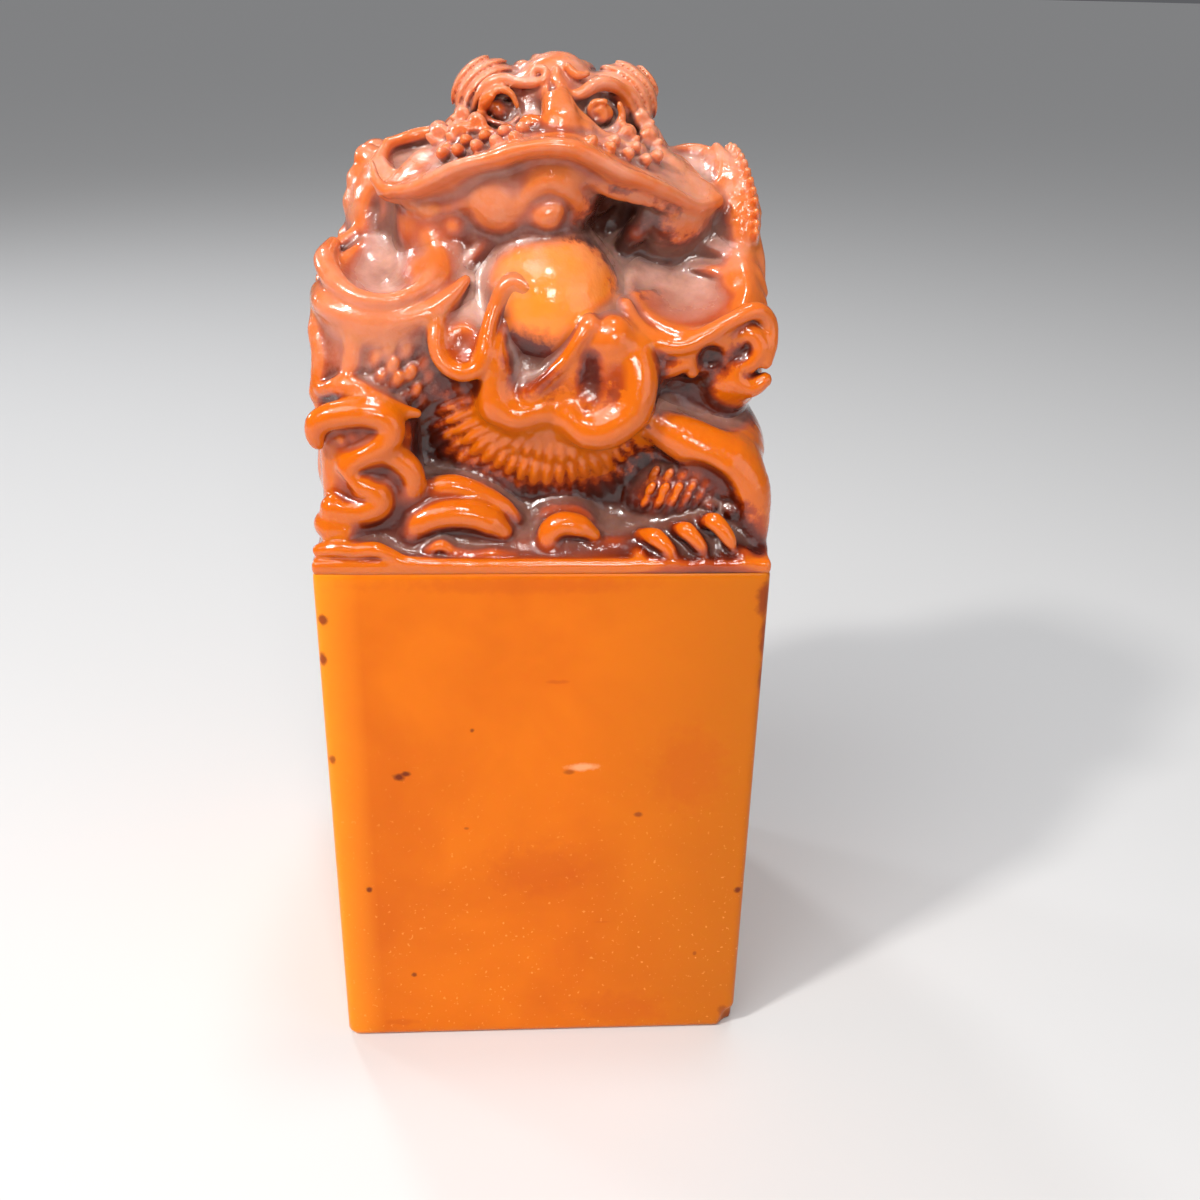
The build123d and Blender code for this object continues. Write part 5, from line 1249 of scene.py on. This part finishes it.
def stone(name, bright, mid, gloss, knob=True):
    material = bpy.data.materials.new(name)
    material.use_nodes = True
    tree = material.node_tree
    shader = tree.nodes["Principled BSDF"]
    shader.subsurface_method = "RANDOM_WALK"
    where = Value(tree, tree.nodes.new("ShaderNodeTexCoord").outputs["Object"])
    split = tree.nodes.new("ShaderNodeSeparateXYZ")
    feed(split.inputs[0], where)
    axes = [Value(tree, output) for output in split.outputs]
    cloudy = where.noise(90, 3, 0.5, 0.4)
    if knob:
        color, dust_and_sheen = carved_color(where, axes, cloudy, bright, mid)
        rough = dust_and_sheen * dust_rough + gloss
    else:
        color, rough = shaft_color(where, axes, cloudy, bright, mid), gloss
    bump = where.node("ShaderNodeBump", "Normal", ("Strength", 0.4 if knob else 0.1), ("Distance", 0.3 * MM),
                      ("Height", where.noise(800, 4, 0.55)))
    settings = {"Base Color": color, "Roughness": rough, "Normal": bump, "IOR": 1.54,
                "Subsurface Weight": 0.35, "Subsurface Scale": 2.2 * MM,
                "Specular IOR Level": 0.4 if knob else 0.15, "Coat Weight": 0.4 if knob else 0.0,
                "Coat Roughness": 0.07}
    for key, value in settings.items():
        feed(shader.inputs[key], value)
    shader.inputs["Subsurface Radius"].default_value = (1.0, 0.32, 0.08)
    return material


carved = stone("amber_carving", bright_stone, mid_stone, gloss=0.13)
polished = stone("amber_pearl", (0.96, 0.25, 0.004), (0.86, 0.17, 0.002), gloss=0.1)
shaft_stone = stone("amber_shaft", (0.74, 0.162, 0.001), (0.64, 0.122, 0.001), gloss=0.3, knob=False)
for name, piece in pieces.items():
    piece.data.materials.append({"pearl_ball": polished, "stone_shaft": shaft_stone}.get(name, carved))


# Floor, lights and camera

floor_reach, floor_color, floor_rough = 40.0, (0.66, 0.66, 0.66), 0.6
mesh = bpy.data.meshes.new("floor")
mesh.from_pydata([(x * floor_reach, y * floor_reach, 0) for x, y in ((-1, -1), (1, -1), (1, 1), (-1, 1))],
                 [], [(0, 1, 2, 3)])
floor = added("floor", mesh)
floor.location.z = shaft_low.z
floor_material = bpy.data.materials.new("pale_floor")
floor_material.use_nodes = True
for key, value in (("Base Color", floor_color), ("Roughness", floor_rough)):
    feed(floor_material.node_tree.nodes["Principled BSDF"].inputs[key], value)
mesh.materials.append(floor_material)

world = bpy.data.worlds.new("studio")
world.use_nodes = True
world.node_tree.nodes["Background"].inputs["Color"].default_value = (0.92, 0.94, 1.0, 1)
world.node_tree.nodes["Background"].inputs["Strength"].default_value = 0.12
bpy.context.scene.world = world

# Lamps: place in millimetres from the shaft's top, watts, side in metres, colour
target = Vector((0, 0, shaft_high.z))
lamps = {
    "key": ((-190, -150, 230), 0.72, 0.03, (1.0, 0.97, 0.93)),
    "fill": ((230, -200, 70), 0.16, 0.2, (0.95, 0.97, 1.0)),
    "front": ((40, -330, 150), 0.3, 0.07, (1.0, 0.97, 0.94)),
    "glint": ((10, -200, 290), 0.24, 0.045, (1.0, 0.99, 0.97)),
    "sky": ((30, 20, 360), 0.34, 0.055, (0.97, 0.98, 1.0)),
    "rim": ((-140, 260, 300), 0.32, 0.05, (0.98, 0.98, 1.0)),
    "window": ((-330, 200, 130), 0.26, 0.05, (0.92, 0.95, 1.0)),
}
for name, (place, power, size, color) in lamps.items():
    light = bpy.data.lights.new(name, "AREA")
    light.energy, light.size, light.color = power, size, color
    lamp = added(name, light)
    lamp.location = Vector(place) * MM + target
    lamp.rotation_euler = (target - lamp.location).to_track_quat("-Z", "Y").to_euler()

daylight = bpy.data.lights.new("daylight", "SUN")
daylight.energy, daylight.angle = 1.0, math.radians(35)
daylight_run = Vector((0.55, 0.62, -1.0))
added("daylight", daylight).rotation_euler = daylight_run.to_track_quat("-Z", "Y").to_euler()

camera_data = bpy.data.cameras.new("camera")
camera_data.sensor_width, camera_data.lens, camera_data.clip_start = 36.0, 38.7, 0.005
camera = added("camera", camera_data)
# The place, in millimetres from the middle of the seal face, and the turn that the shaft's edges give
camera_place = (-1.738, -110.097, 88.825)
pitch, yaw, roll = math.radians(25.45), math.radians(3.84), math.radians(1.37)
forward = Vector((math.sin(yaw) * math.cos(pitch), math.cos(yaw) * math.cos(pitch), -math.sin(pitch)))
right = Vector((math.cos(yaw), -math.sin(yaw), 0))
upward = right.cross(forward)
right_rolled = right * math.cos(roll) + upward * math.sin(roll)
up_rolled = -right * math.sin(roll) + upward * math.cos(roll)
camera.rotation_euler = Matrix((right_rolled, up_rolled, -forward)).transposed().to_euler()
camera.location = [v * MM for v in camera_place]
bpy.context.scene.view_settings.view_transform = "Standard"
bpy.context.scene.camera = camera
